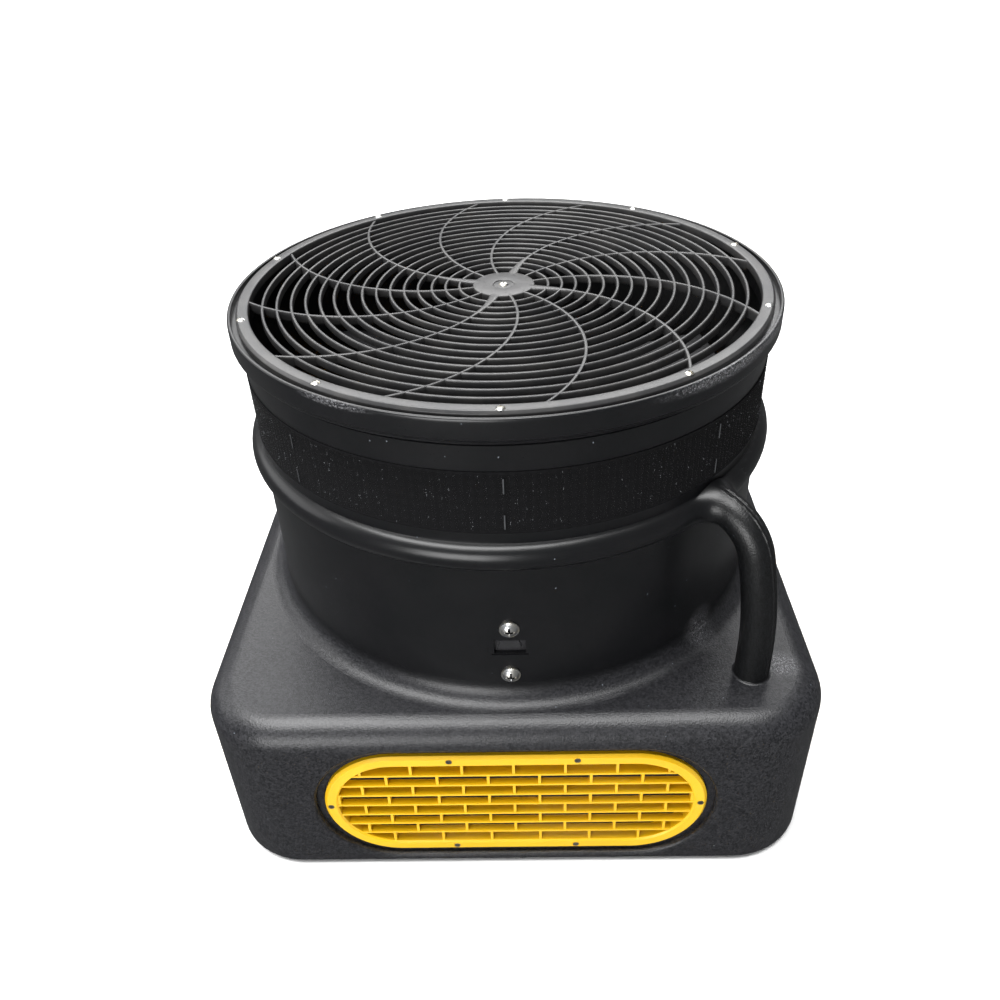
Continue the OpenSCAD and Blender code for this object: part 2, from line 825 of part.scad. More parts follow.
// The four lid screw places
module at_lid_screws() {
    for (s = [-1, 1], z = [box_z + 8, box_z + box_h - 8]) translate([0, s * (box_w / 2 - 8), z])
        rotate([0, 90, 0]) children();
}

module switch_box() {
    color(soft_black) rotate([0, 0, box_turn]) difference() {
        union() {
            difference() {
                translate([tube_r - 8, -box_w / 2, box_z]) cube([box_face - tube_r + 8, box_w, box_h]);
                translate([tube_r + 6, -box_w / 2 + box_wall, box_z + box_wall])
                    cube([60, box_w - 2 * box_wall, box_h - 2 * box_wall]);
            }
            at_lid_screws() translate([0, 0, tube_r + 5]) cylinder(r = 5, h = box_face - tube_r - 5);
        }
        translate([0, 0, box_z - 1]) cylinder(r = tube_r, h = box_h + 2);
        at_lid_screws() translate([0, 0, box_face - 14]) cylinder(r = 1.6, h = 20);
        translate([tube_r - 5, 0, bracket_z]) rotate([0, 90, 0]) cylinder(r = lead_r + 0.3, h = 20);
        translate([gland_at, box_w / 2 - 8, gland_z]) rotate([-90, 0, 0]) cylinder(r = 8, h = 20);
    }
}

module switch_box_lid() {
    color(soft_black) rotate([0, 0, box_turn]) difference() {
        translate([box_face, -box_w / 2, box_z]) cube([lid_t, box_w, box_h]);
        at_lid_screws() translate([0, 0, box_face - 1]) cylinder(r = 1.8, h = 20);
        translate([box_face - 1, -11, switch_z - 14.5]) cube([20, 22, 29]);
    }
}

module switch_lid_screws() {
    color(zinc) rotate([0, 0, box_turn]) at_lid_screws() translate([0, 0, lid_face])
        pan_screw(3.2, 1.8, 1.55, 14);
}

// Rocker switch body with its bezel, open in front
module switch_body() {
    color(rubber_black) rotate([0, 0, box_turn]) difference() {
        union() {
            translate([lid_face - 24, -10.9, switch_z - 14.4]) cube([24, 21.8, 28.8]);
            translate([lid_face, -13, switch_z - 17]) cube([1.8, 26, 34]);
            for (s = [-1, 1]) translate([lid_face - 32, -3, switch_z + 7 * s - 0.4]) cube([9, 6, 0.8]);
        }
        translate([lid_face - 9, -8.6, switch_z - 12.6]) cube([20, 17.2, 25.2]);
        translate([lid_face, 0, switch_z]) rotate([90, 0, 0])
            cylinder(r = pin_r + running_gap, h = 20.4, center = true);
    }
}

// Rocker tilted to off, turning on two short pins
module switch_rocker() {
    color(rubber_black) rotate([0, 0, box_turn]) translate([lid_face, 0, switch_z])
    rotate([0, rocker_tilt, 0]) {
        rotate([90, 0, 0]) linear_extrude(16.6, center = true)
            polygon([[-3, -10.5], [3.4, -11.2], [4.4, -10.2], [2.2, 0], [4.4, 10.2], [3.4, 11.2],
                [-3, 10.5]]);
        rotate([90, 0, 0]) cylinder(r = pin_r, h = 20, center = true);
    }
}

module run_capacitor() {
    color(zinc) rotate([0, 0, box_turn]) translate([tube_r + 19, -19, box_z + box_wall + 10.5])
        cylinder(r = 11, h = 28);
}

// Cable gland: threaded body through the box's side, hexagon and clamping dome
module cable_gland() {
    color(rubber_black) rotate([0, 0, box_turn]) translate([gland_at, box_w / 2, gland_z]) rotate([-90, 0, 0])
        difference() {
            union() {
                translate([0, 0, -14]) cylinder(r = 7.9, h = 14 + eps);
                cylinder(r = 12, h = 6, $fn = 6);
                translate([0, 0, 6]) cylinder(r = 9.5, h = 4);
                translate([0, 0, 9]) cylinder(r = 11, h = 9, $fn = 6);
                translate([0, 0, 18]) cylinder(r1 = 9, r2 = 6.5, h = 4);
            }
            translate([0, 0, -20]) cylinder(r = gland_bore_r, h = 50);
        }
}

module gland_locknut() {
    color(rubber_black) rotate([0, 0, box_turn]) translate([gland_at, box_w / 2 - box_wall - 5, gland_z])
        rotate([-90, 0, 0]) difference() {
            cylinder(r = 11.5, h = 4.8, $fn = 6);
            translate([0, 0, -1]) cylinder(r = 7.95, h = 8);
        }
}

// Motor lead: along an arm, round the inside of the tube and out into the switch box
module motor_lead() {
    bend_at = asin(lead_y / lead_run_r);
    color(rubber_black) translate([0, 0, bracket_z]) {
        translate([motor_r - 7, lead_y, 0]) rotate([0, 90, 0])
            cylinder(r = lead_r, h = lead_run_r * cos(bend_at) - motor_r + 7);
        rotate([0, 0, bend_at]) rotate_extrude(angle = box_turn - bend_at)
            translate([lead_run_r, 0]) circle(lead_r);
        for (a = [bend_at, box_turn]) rotate([0, 0, a]) translate([lead_run_r, 0, 0]) sphere(lead_r + 0.6);
        rotate([0, 0, box_turn]) translate([lead_run_r, 0, 0]) rotate([0, 90, 0])
            cylinder(r = lead_r, h = tube_r + 16 - lead_run_r);
    }
}

module lead_grommet() {
    color(rubber_black) rotate([0, 0, box_turn]) translate([bore_r, 0, bracket_z]) rotate([0, 90, 0])
    difference() {
        translate([0, 0, 0.3]) cylinder(r = 7.9, h = tube_r - bore_r - 0.8);
        translate([0, 0, -1]) cylinder(r = lead_r, h = 10);
    }
}

housing_shell();
base_plate();
base_plate_screws();
foot(-1, -1);  // foot_front_left
foot(1, -1);  // foot_front_right
foot(-1, 1);  // foot_rear_left
foot(1, 1);  // foot_rear_right
foot_screws();
outlet_guard();
guard_screws();
guard_hub_screw();
guard_hub_nut();
intake_grille(0);  // intake_grille_front
intake_grille(90);  // intake_grille_right
intake_grille(180);  // intake_grille_rear
intake_grille(270);  // intake_grille_left
grille_screws();
hook_tape();
tape_staples();
motor_bracket();
bracket_screws();
bracket_washers();
bracket_nuts();
motor_mount_screws();
motor_can();
motor_end_bell_upper();
motor_end_bell_lower();
motor_tie_bolts();
stator_core();
stator_windings();
bearing_upper();
bearing_lower();
motor_shaft();
rotor_core();
shaft_key();
fan_hub();
fan_blades();
fan_washer();
fan_nut();
switch_box();
switch_box_lid();
switch_lid_screws();
switch_body();
switch_rocker();
run_capacitor();
cable_gland();
gland_locknut();
motor_lead();
lead_grommet();
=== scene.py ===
"""The looks of a floor-standing axial blower: a rotationally moulded housing with two round handles,
a spiral outlet guard, four yellow intake grilles, a stapled hook-tape collar, and the fan, motor
and switch box that belong to it. Metres, +Z up, front grille towards -Y."""
import math

import bmesh
import bpy
import numpy as np
from mathutils import Matrix, Vector


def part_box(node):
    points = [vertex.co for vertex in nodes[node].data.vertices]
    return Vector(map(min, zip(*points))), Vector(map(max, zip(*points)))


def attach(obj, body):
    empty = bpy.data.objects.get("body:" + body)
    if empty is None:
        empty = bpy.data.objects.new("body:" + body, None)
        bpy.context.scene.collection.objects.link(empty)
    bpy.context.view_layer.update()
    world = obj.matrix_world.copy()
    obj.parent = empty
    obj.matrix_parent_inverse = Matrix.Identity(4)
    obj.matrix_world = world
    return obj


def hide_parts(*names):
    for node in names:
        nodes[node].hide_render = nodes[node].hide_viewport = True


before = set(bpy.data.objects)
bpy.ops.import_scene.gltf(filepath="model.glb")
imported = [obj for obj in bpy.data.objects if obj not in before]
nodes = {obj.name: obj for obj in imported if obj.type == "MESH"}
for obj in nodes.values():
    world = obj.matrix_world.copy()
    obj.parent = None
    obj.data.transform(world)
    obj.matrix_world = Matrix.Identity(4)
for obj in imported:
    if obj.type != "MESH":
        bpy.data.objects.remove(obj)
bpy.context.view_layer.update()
MM = 0.001

# ---- Camera ----
# A full-frame camera with a 32 mm lens, held in front of the blower a little above its guard and
# tipped down onto it, with a slight turn and roll of the hand.
LENS_MM = 32.393
SENSOR_MM = 36
EYE = Vector((0.0172, -0.7631, 0.7662))
YAW, PITCH, ROLL = np.radians([-2.166, 35.474, -2.505])

look = Vector((math.sin(YAW) * math.cos(PITCH), math.cos(YAW) * math.cos(PITCH), -math.sin(PITCH)))
level = Vector((math.cos(YAW), -math.sin(YAW), 0))
upright = level.cross(look)
across = math.cos(ROLL) * level + math.sin(ROLL) * upright
above = math.cos(ROLL) * upright - math.sin(ROLL) * level
camera = bpy.data.objects.new("camera", bpy.data.cameras.new("camera"))
bpy.context.scene.collection.objects.link(camera)
camera.data.lens = LENS_MM
camera.data.sensor_width = SENSOR_MM
camera.matrix_world = Matrix.Translation(EYE) @ Matrix((across, above, -look)).transposed().to_4x4()
bpy.context.scene.camera = camera


# ---- Housing ----
# One rotationally moulded black polyethylene body: square base, tube, bead, neck and lip. The mould
# is etched with a leather grain on the base and handles, and left smooth and satin on the tube.
BASE_TOP = 181 * MM
# The base's grain fades out over these heights, and the handles' grain starts between these radii
BLEND_TOP = BASE_TOP + 22 * MM
BLEND_FOOT = BASE_TOP + 6 * MM
BEAD_OUT = 243.5 * MM
BAR_OUT = 250 * MM
# Above the base's top, its paler tone keeps this far from the middle of a handle's foot, where
# the handles' darker tone, which is painted shade, begins
BAR_FOOT = (208.55 * MM, 208.55 * MM, 0)
BAR_NEAR = 19 * MM
GRAIN_MM = 1.5
FINE_GRAIN_MM = 0.9
GRAIN_DEEP = 0.15 * MM
SPECK_SPACING_MM = 13
SCUFF_MM = 1.3
# Where the moulding has been knocked: middle of the place and how far the marks reach each way
SCUFFS = [((0.170, -0.172, 0.457), (0.090, 0.085, 0.0075)), ((0.215, -0.110, 0.457), (0.05, 0.06, 0.006)),
          ((-0.120, -0.209, 0.458), (0.045, 0.03, 0.004)), ((0.170, -0.166, 0.349), (0.012, 0.012, 0.004)),
          ((0.174, -0.170, 0.198), (0.024, 0.028, 0.024)), ((0.236, -0.200, 0.181), (0.022, 0.020, 0.006))]


def colour(code):
    """sRGB hex to linear RGBA: a channel c becomes c / 12.92 up to 0.04045, and above that
    ((c + 0.055) / 1.055) to the power 2.4."""
    c = np.array([int(code[k:k + 2], 16) for k in (1, 3, 5)]) / 255
    rgb = np.where(c <= 0.04045, c / 12.92, ((c + 0.055) / 1.055) ** 2.4)
    return (*rgb.tolist(), 1.0)


def add(tree, kind, sockets=None, **settings):
    """Adds one shader node. settings are its own properties; sockets maps an input's name or
    number to a value, or to the output that feeds it."""
    made = tree.nodes.new("ShaderNode" + kind)
    for name, value in settings.items():
        setattr(made, name, value)
    for name, value in (sockets or {}).items():
        if isinstance(value, bpy.types.NodeSocket):
            tree.links.new(value, made.inputs[name])
        else:
            made.inputs[name].default_value = value
    return made


def blank(name):
    """A new material with nothing in it yet, its node tree, and its object coordinates."""
    made = bpy.data.materials.new(name)
    made.use_nodes = True
    made.node_tree.nodes.clear()
    place = add(made.node_tree, "TexCoord").outputs["Object"]
    return made, made.node_tree, place


def surface(tree, sockets):
    """Ends a material in one Principled shader with these sockets."""
    shader = add(tree, "BsdfPrincipled", sockets)
    add(tree, "OutputMaterial", {"Surface": shader.outputs["BSDF"]})


def per_mm(size):
    """Scale of a pattern, in cells a metre, whose cells are this many millimetres across."""
    return 1 / (size * MM)


def dress(material, *names):
    """Gives CAD nodes a finish through their material slots."""
    for name in names:
        for place in nodes[name].material_slots:
            place.material = material


def rotomoulded_polyethylene():
    """Rotationally moulded linear polyethylene, pigmented black: waxy, soft highlights. The leather
    grain breaks them up into a fine sparkle on the base and handles; the tube is satin and darker.
    The handles' grained plastic is drawn in a darker tone than the base's, which is painted shade.
    Dust specks and whitish scuffs lie on top. The real grain is about 1 mm across and is drawn at
    1.5 mm, so that it shows."""
    made, tree, place = blank("rotomoulded_polyethylene")
    flat = add(tree, "VectorMath", {0: place, 1: (1, 1, 0)}, operation="MULTIPLY").outputs[0]
    radius = add(tree, "VectorMath", {0: flat}, operation="LENGTH").outputs["Value"]
    height = add(tree, "SeparateXYZ", {0: place}).outputs["Z"]
    on_base = add(tree, "MapRange", {"Value": height, "From Min": BLEND_TOP, "From Max": BLEND_FOOT},
                  interpolation_type="SMOOTHSTEP").outputs[0]
    folded = add(tree, "VectorMath", {0: flat}, operation="ABSOLUTE").outputs[0]
    away = add(tree, "VectorMath", {0: folded, 1: BAR_FOOT}, operation="DISTANCE").outputs["Value"]
    off_bar = add(tree, "MapRange", {"Value": away, "From Min": BAR_NEAR - MM, "From Max": BAR_NEAR})
    level = add(tree, "MapRange", {"Value": height, "From Min": BASE_TOP + MM,
                "From Max": BASE_TOP + 0.4 * MM}).outputs[0]
    clear = add(tree, "Math", {0: off_bar.outputs[0], 1: level}, operation="MAXIMUM").outputs[0]
    on_base = add(tree, "Math", {0: on_base, 1: clear}, operation="MULTIPLY").outputs[0]
    on_handle = add(tree, "MapRange", {"Value": radius, "From Min": BEAD_OUT, "From Max": BAR_OUT},
                    interpolation_type="SMOOTHSTEP").outputs[0]
    grained = add(tree, "Math", {0: on_base, 1: on_handle}, operation="MAXIMUM").outputs[0]

    cells = add(tree, "TexVoronoi", {"Vector": place, "Scale": per_mm(GRAIN_MM)})
    pebble = add(tree, "SeparateColor", {0: cells.outputs["Color"]}).outputs[0]
    fine = add(tree, "TexNoise", {"Vector": place, "Scale": per_mm(FINE_GRAIN_MM), "Detail": 3,
               "Roughness": 0.6}).outputs["Fac"]
    leather = add(tree, "Math", {0: cells.outputs["Distance"], 1: grained},
                  operation="MULTIPLY").outputs[0]
    relief = add(tree, "Math", {0: fine, 1: 0.15, 2: leather}, operation="MULTIPLY_ADD").outputs[0]
    shrink = add(tree, "TexNoise", {"Vector": place, "Scale": per_mm(70), "Detail": 2}).outputs["Fac"]
    waves = add(tree, "Bump", {"Height": shrink, "Strength": 0.5, "Distance": 1.5 * MM}).outputs[0]
    bumps = add(tree, "Bump", {"Height": relief, "Strength": 0.8, "Distance": GRAIN_DEEP,
                "Normal": waves}).outputs[0]

    mottle = add(tree, "TexNoise", {"Vector": place, "Scale": per_mm(45), "Detail": 4}).outputs["Fac"]
    cast = add(tree, "MapRange", {"Value": mottle, "From Min": 0.35, "From Max": 0.65}).outputs[0]
    satin = add(tree, "Mix", {0: cast, 6: colour("#0d0e10"), 7: colour("#111113")},
                data_type="RGBA").outputs[2]
    base_tone = add(tree, "Mix", {0: pebble, 6: colour("#0f1013"), 7: colour("#2d2d30")},
                    data_type="RGBA").outputs[2]
    # Painted shade: the handles take a darker copy of the base's grained tone.
    bar_tone_painted_shade = add(tree, "Mix", {0: pebble, 6: colour("#050606"), 7: colour("#111214")},
                   data_type="RGBA").outputs[2]
    etched = add(tree, "Mix", {0: on_base, 6: bar_tone_painted_shade, 7: base_tone}, data_type="RGBA").outputs[2]
    tone = add(tree, "Mix", {0: grained, 6: satin, 7: etched}, data_type="RGBA").outputs[2]

    dust = add(tree, "TexVoronoi", {"Vector": place, "Scale": per_mm(SPECK_SPACING_MM)})
    near = add(tree, "MapRange", {"Value": dust.outputs["Distance"], "From Min": 0.055,
               "From Max": 0.03}).outputs[0]
    rare = add(tree, "SeparateColor", {0: dust.outputs["Color"]}).outputs[0]
    few = add(tree, "Math", {0: rare, 1: 0.55}, operation="GREATER_THAN").outputs[0]
    speck = add(tree, "Math", {0: near, 1: few}, operation="MULTIPLY").outputs[0]
    dusted = add(tree, "Mix", {0: speck, 6: tone, 7: colour("#6d747c")}, data_type="RGBA").outputs[2]

    knocked = None
    for middle, reach in SCUFFS:
        away = add(tree, "VectorMath", {0: place, 1: middle}, operation="SUBTRACT").outputs[0]
        parts = add(tree, "VectorMath", {0: away, 1: reach}, operation="DIVIDE").outputs[0]
        depth = add(tree, "VectorMath", {0: parts}, operation="LENGTH").outputs["Value"]
        close = add(tree, "MapRange", {"Value": depth, "From Min": 1.0, "From Max": 0.3},
                    interpolation_type="SMOOTHSTEP").outputs[0]
        if knocked is not None:
            close = add(tree, "Math", {0: knocked, 1: close}, operation="MAXIMUM").outputs[0]
        knocked = close
    scrape = add(tree, "TexNoise", {"Vector": place, "Scale": per_mm(SCUFF_MM), "Detail": 6,
                 "Roughness": 0.7, "Distortion": 1.2}).outputs["Fac"]
    torn = add(tree, "MapRange", {"Value": scrape, "From Min": 0.50, "From Max": 0.64}).outputs[0]
    scuffed = add(tree, "Math", {0: torn, 1: knocked}, operation="MULTIPLY").outputs[0]
    whitened = add(tree, "Math", {0: scuffed, 1: 0.75}, operation="MULTIPLY").outputs[0]
    worn = add(tree, "Mix", {0: whitened, 6: dusted, 7: colour("#a9a9ad")}, data_type="RGBA").outputs[2]

    gloss = add(tree, "MapRange", {"Value": grained, "To Min": 0.24, "To Max": 0.32}).outputs[0]
    uneven = add(tree, "Math", {0: fine, 1: 0.12, 2: gloss}, operation="MULTIPLY_ADD").outputs[0]
    surface(tree, {"Base Color": worn, "Roughness": uneven, "IOR": 1.51, "Normal": bumps})
    return made


moulded_black = rotomoulded_polyethylene()
dress(moulded_black, "housing_shell")


# ---- Bead parting line ----
# The two halves of the mould meet in the crease under the bead and leave a thin ridge of
# polyethylene all round the tube there, which catches the light as a fine line.
RIDGE_R = 0.8 * MM
RIDGE_AT = (234.1 * MM, 322.9 * MM)


def shells(name, grids, material, capped=False, uv=None):
    """An object of closed shells, one over each grid[i, j], a point of j round the section at step i
    of its path. Each quad joins (i, j), (i + 1, j), (i + 1, j + 1) and (i, j + 1); j always closes
    on itself, and i does too unless it is capped with a flat face at each end. Points that fall
    together, as on an axis, are merged. uv[i, j] becomes the first grid's UV map."""
    faces = []
    first = 0
    for grid in grids:
        rows, cols = grid.shape[:2]
        i = np.arange(rows - 1 if capped else rows)[:, None]
        j = np.arange(cols)[None, :]
        corner = [(i, j), (i + 1, j), (i + 1, j + 1), (i, j + 1)]
        quads = np.stack([a % rows * cols + b % cols for a, b in corner], -1).reshape(-1, 4)
        faces += (quads + first).tolist()
        if capped:
            start = first + np.arange(cols)
            faces += [start.tolist(), (start + (rows - 1) * cols).tolist()]
        first += rows * cols
    mesh = bpy.data.meshes.new(name)
    mesh.from_pydata(np.concatenate([grid.reshape(-1, 3) for grid in grids]).tolist(), [], faces)
    if uv is not None:
        spread = np.stack([uv[a % rows, b % cols] for a, b in corner], 2)
        mesh.uv_layers.new(name="UVMap").data.foreach_set("uv", spread.reshape(-1))
    shape = bmesh.new()
    shape.from_mesh(mesh)
    bmesh.ops.remove_doubles(shape, verts=shape.verts, dist=0.001 * MM)
    bmesh.ops.recalc_face_normals(shape, faces=shape.faces)
    shape.to_mesh(mesh)
    shape.free()
    mesh.polygons.foreach_set("use_smooth", [True] * len(mesh.polygons))
    mesh.set_sharp_from_angle(angle=math.radians(40))
    mesh.materials.append(material)
    piece = bpy.data.objects.new(name, mesh)
    bpy.context.scene.collection.objects.link(piece)
    return piece


def round_axis(section, steps):
    """A section of (radius, height) points carried round the upright axis: at turn t a point is
    (radius cos t, radius sin t, height)."""
    t = np.linspace(0, 2 * np.pi, steps, endpoint=False)[:, None]
    radius, height = section[:, 0], section[:, 1]
    return np.stack([radius * np.cos(t), radius * np.sin(t), height + 0 * t], -1)


def rounded(outline, size, steps=4):
    """A closed outline with its corners rounded: a corner c becomes the curve (1 - t)^2 a +
    2 t (1 - t) c + t^2 b, where a and b lie up to size before and after it on its two sides."""
    corner = np.array(outline, float)
    size = np.broadcast_to(size, len(corner))[:, None]
    back = np.roll(corner, 1, 0) - corner
    ahead = np.roll(corner, -1, 0) - corner
    far_back = np.linalg.norm(back, axis=1, keepdims=True)
    far_ahead = np.linalg.norm(ahead, axis=1, keepdims=True)
    a = (corner + back / far_back * np.minimum(size, far_back * 0.45))[:, None]
    b = (corner + ahead / far_ahead * np.minimum(size, far_ahead * 0.45))[:, None]
    t = np.linspace(0, 1, steps)[None, :, None]
    curve = (1 - t) ** 2 * a + 2 * t * (1 - t) * corner[:, None] + t ** 2 * b
    return curve.reshape(-1, 2)


ridge_turn = np.linspace(0, 2 * np.pi, 10, endpoint=False)
ridge_section = np.stack([RIDGE_AT[0] + RIDGE_R * np.cos(ridge_turn),
                          RIDGE_AT[1] + RIDGE_R * np.sin(ridge_turn)], -1)
parting_ridge = shells("bead_parting_ridge", [round_axis(ridge_section, 360)], moulded_black)
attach(parting_ridge, "housing")


# ---- Lip ----
# The rolled top edge of the neck, moulded in one with it. Its full round outer edge stands a
# little above the guard's seat, and it is where the blower gets knocked and scuffed.
lip_outline = np.array([(239.6, 443.3), (241.0, 443.6), (241.0, 460.15), (237.6, 460.15),
                        (237.6, 455.4), (239.6, 455.0)]) * MM
lip_section = rounded(lip_outline, np.array([0.3, 0.6, 3.4, 0.9, 0.2, 0.2]) * MM, steps=7)
lip_edge = shells("lip_edge", [round_axis(lip_section, 480)], moulded_black)
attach(lip_edge, "housing")


# ---- Handles ----
# Two round bars moulded in one with the housing, from the bead over and down to the base. The
# plastic flows together where a bar grows out of the bead, and the mould's joint leaves a double
# ridge with ragged flash along each bar's outer side.
HANDLE_TURNS = (-45, 135)
HANDLE_R = 14.7 * MM
STUB = (234 * MM, 240 * MM, 336.5 * MM)
BEND_IN = (240 * MM, 293 * MM, 43.5 * MM)
BEND_OUT_R = 379 * MM
BEND_CHANGE = math.radians(15)
BEAD_AT = (230.1 * MM, 335.5 * MM)
BEAD_R = 12.95 * MM
BEAD_FLOW = 15 * MM
BASE_FLOW = 1.2 * MM
FLASH_APART = 3.8 * MM
FLASH_WIDE = 0.6 * MM
FLASH_HIGH = 0.9 * MM


def handle_path():
    """Middle line of a handle in its own plane of radius and height, from the bead to the base: a
    level stub, a tight bend, a wide bend and an upright foot. Each point has the direction of the
    bar's outer side, at angle a: (cos a, sin a)."""
    tight = np.linspace(np.pi / 2, BEND_CHANGE, 60)
    wide = np.linspace(BEND_CHANGE, 0, 60)[1:]
    wide_x = BEND_IN[0] + (BEND_IN[2] - BEND_OUT_R) * math.cos(BEND_CHANGE)
    wide_z = BEND_IN[1] + (BEND_IN[2] - BEND_OUT_R) * math.sin(BEND_CHANGE)
    foot_z = BASE_TOP - 0.3 * MM + (wide_z - BASE_TOP) * np.linspace(1, 0, 26)[1:] ** 1.8
    stub_x = np.linspace(STUB[0], STUB[1], 10)[:-1]
    x = np.concatenate([stub_x, BEND_IN[0] + BEND_IN[2] * np.cos(tight),
                        wide_x + BEND_OUT_R * np.cos(wide), 0 * foot_z + wide_x + BEND_OUT_R])
    z = np.concatenate([0 * stub_x + STUB[2], BEND_IN[1] + BEND_IN[2] * np.sin(tight),
                        wide_z + BEND_OUT_R * np.sin(wide), foot_z])
    side = np.concatenate([0 * stub_x + np.pi / 2, tight, wide, 0 * foot_z])
    return x, z, side


def flowed(a, b, size):
    """Signed distance outside two shapes that flow together, from the distances a and b outside
    each: the lesser of them, less (size - |a - b|)^2 / (4 size) where that bracket is positive."""
    return np.minimum(a, b) - np.clip(size - np.abs(a - b), 0, None) ** 2 / (4 * size)


def handle_skin(turn):
    """The bar's surface. From the middle line, at angle f round the bar from its outer side, a ray
    (cos f outwards, sin f sideways) is followed to where it leaves the flowed shape of the bar, the
    bead and the base. The double ridge is added there as two narrow bell curves, ragged near the
    bead."""
    x, z, side = (part[:, None, None] for part in handle_path())
    half = np.concatenate([np.linspace(0, 0.16, 26, endpoint=False), np.linspace(0.16, 1, 34)]) * np.pi
    f = np.concatenate([half, -half[1:-1][::-1]])[None, :, None]
    ray = np.linspace(0.3, 3.2, 260)[None, None, :] * HANDLE_R
    far = x + ray * np.cos(f) * np.cos(side)
    up = z + ray * np.cos(f) * np.sin(side)
    from_bead = np.hypot(np.hypot(far, ray * np.sin(f)) - BEAD_AT[0], up - BEAD_AT[1]) - BEAD_R
    left = flowed(flowed(ray - HANDLE_R, from_bead, BEAD_FLOW), np.clip(up - BASE_TOP, 0.01 * MM, None),
                  BASE_FLOW)
    last = np.argmax(left > 0, axis=2)
    last = np.where(last == 0, ray.shape[2] - 1, last)
    ends = np.take_along_axis(np.broadcast_to(ray, left.shape), last[..., None], 2)[..., 0]
    over = np.take_along_axis(left, last[..., None], 2)[..., 0]
    under = np.take_along_axis(left, last[..., None] - 1, 2)[..., 0]
    pace = ray[0, 0, 1] - ray[0, 0, 0]
    reach = ends - pace * np.clip(over / np.maximum(over - under, 1e-9), 0, 1)
    x, z, side, f = x[..., 0], z[..., 0], side[..., 0], f[..., 0]
    s = np.cumsum(np.hypot(np.diff(x, axis=0, prepend=x[:1]), np.diff(z, axis=0, prepend=z[:1])))[:, None]
    ragged = 1 + 0.9 * np.exp(-s / (45 * MM)) * np.sin(s / (1.1 * MM)) * np.sin(s / (2.7 * MM) + 1)
    bells = sum(np.exp(-((f * HANDLE_R + k * FLASH_APART / 2) / FLASH_WIDE) ** 2) for k in (-1, 1))
    fade = np.clip((s - 8 * MM) / (6 * MM), 0, 1) * np.clip((z - BASE_TOP) / (8 * MM), 0, 1)
    reach = reach + FLASH_HIGH * ragged * bells * fade
    far = x + reach * np.cos(f) * np.cos(side)
    sideways = reach * np.sin(f)
    t = math.radians(turn)
    return np.stack([far * math.cos(t) - sideways * math.sin(t),
                     far * math.sin(t) + sideways * math.cos(t), z + reach * np.cos(f) * np.sin(side)], -1)


for turn, where in zip(HANDLE_TURNS, ("front_right", "rear_left")):
    bar = shells("handle_" + where, [handle_skin(turn)], moulded_black, capped=True)
    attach(bar, "housing")


# ---- Base plate and feet ----
# A flat pressed polyethylene plate closes the base from below and stands on four moulded rubber
# feet, each held by a screw sunk in its middle.
def moulded_plastic(name, tone, shade, roughness, grain_mm, deep_mm, ior):
    """An injection moulding: two close tones in slow drifts, and the mould's fine texture as cells
    of grain_mm, deep_mm high. It gives even satin highlights that break up close to."""
    made, tree, place = blank(name)
    drift = add(tree, "TexNoise", {"Vector": place, "Scale": per_mm(38), "Detail": 3}).outputs["Fac"]
    even = add(tree, "MapRange", {"Value": drift, "From Min": 0.35, "From Max": 0.65}).outputs[0]
    mixed = add(tree, "Mix", {0: even, 6: colour(tone), 7: colour(shade)}, data_type="RGBA").outputs[2]
    grit = add(tree, "TexNoise", {"Vector": place, "Scale": per_mm(grain_mm), "Detail": 2}).outputs["Fac"]
    bumps = add(tree, "Bump", {"Height": grit, "Strength": 0.8, "Distance": deep_mm * MM}).outputs[0]
    uneven = add(tree, "Math", {0: grit, 1: 0.14, 2: roughness - 0.07}, operation="MULTIPLY_ADD")
    surface(tree, {"Base Color": mixed, "Roughness": uneven.outputs[0], "IOR": ior, "Normal": bumps})
    return made


dress(moulded_plastic("pressed_polyethylene_plate", "#2c2c2e", "#323234", 0.55, 2.2, 0.12, 1.51),
      "base_plate")
foot_rubber = moulded_plastic("moulded_rubber", "#1c1c1c", "#262625", 0.75, 1.2, 0.10, 1.52)
dress(foot_rubber, "foot_front_left", "foot_front_right", "foot_rear_left", "foot_rear_right")


# ---- Intake grilles ----
# Four stadium-shaped inserts of glossy yellow ABS, injection moulded: a bevelled rim round seven
# thin slats and their staggered dividers. Each is sunk in a side of the base by six small screws.
GRILLE_ROUND = 0.45 * MM


def softened(name, width, material, steps=2):
    """A copy of a CAD node with its corners rounded: doubles are merged, flat faces are rejoined,
    and a Bevel of this width rounds each edge that turns by more than 25 degrees."""
    mesh = bpy.data.meshes.new(name + "_moulding")
    shape = bmesh.new()
    shape.from_mesh(nodes[name].data)
    bmesh.ops.remove_doubles(shape, verts=shape.verts, dist=0.002 * MM)
    bmesh.ops.dissolve_limit(shape, angle_limit=math.radians(0.3), verts=shape.verts, edges=shape.edges)
    shape.to_mesh(mesh)
    shape.free()
    for spare in [a.name for a in mesh.attributes if a.name == "custom_normal"]:
        mesh.attributes.remove(mesh.attributes[spare])
    mesh.materials.clear()
    mesh.materials.append(material)
    mesh.polygons.foreach_set("material_index", [0] * len(mesh.polygons))
    mesh.polygons.foreach_set("use_smooth", [True] * len(mesh.polygons))
    piece = bpy.data.objects.new(name + "_moulding", mesh)
    bpy.context.scene.collection.objects.link(piece)
    rounding = piece.modifiers.new("rounding", "BEVEL")
    rounding.width = width
    rounding.segments = steps
    rounding.limit_method = "ANGLE"
    rounding.angle_limit = math.radians(25)
    rounding.harden_normals = True
    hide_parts(name)
    return piece


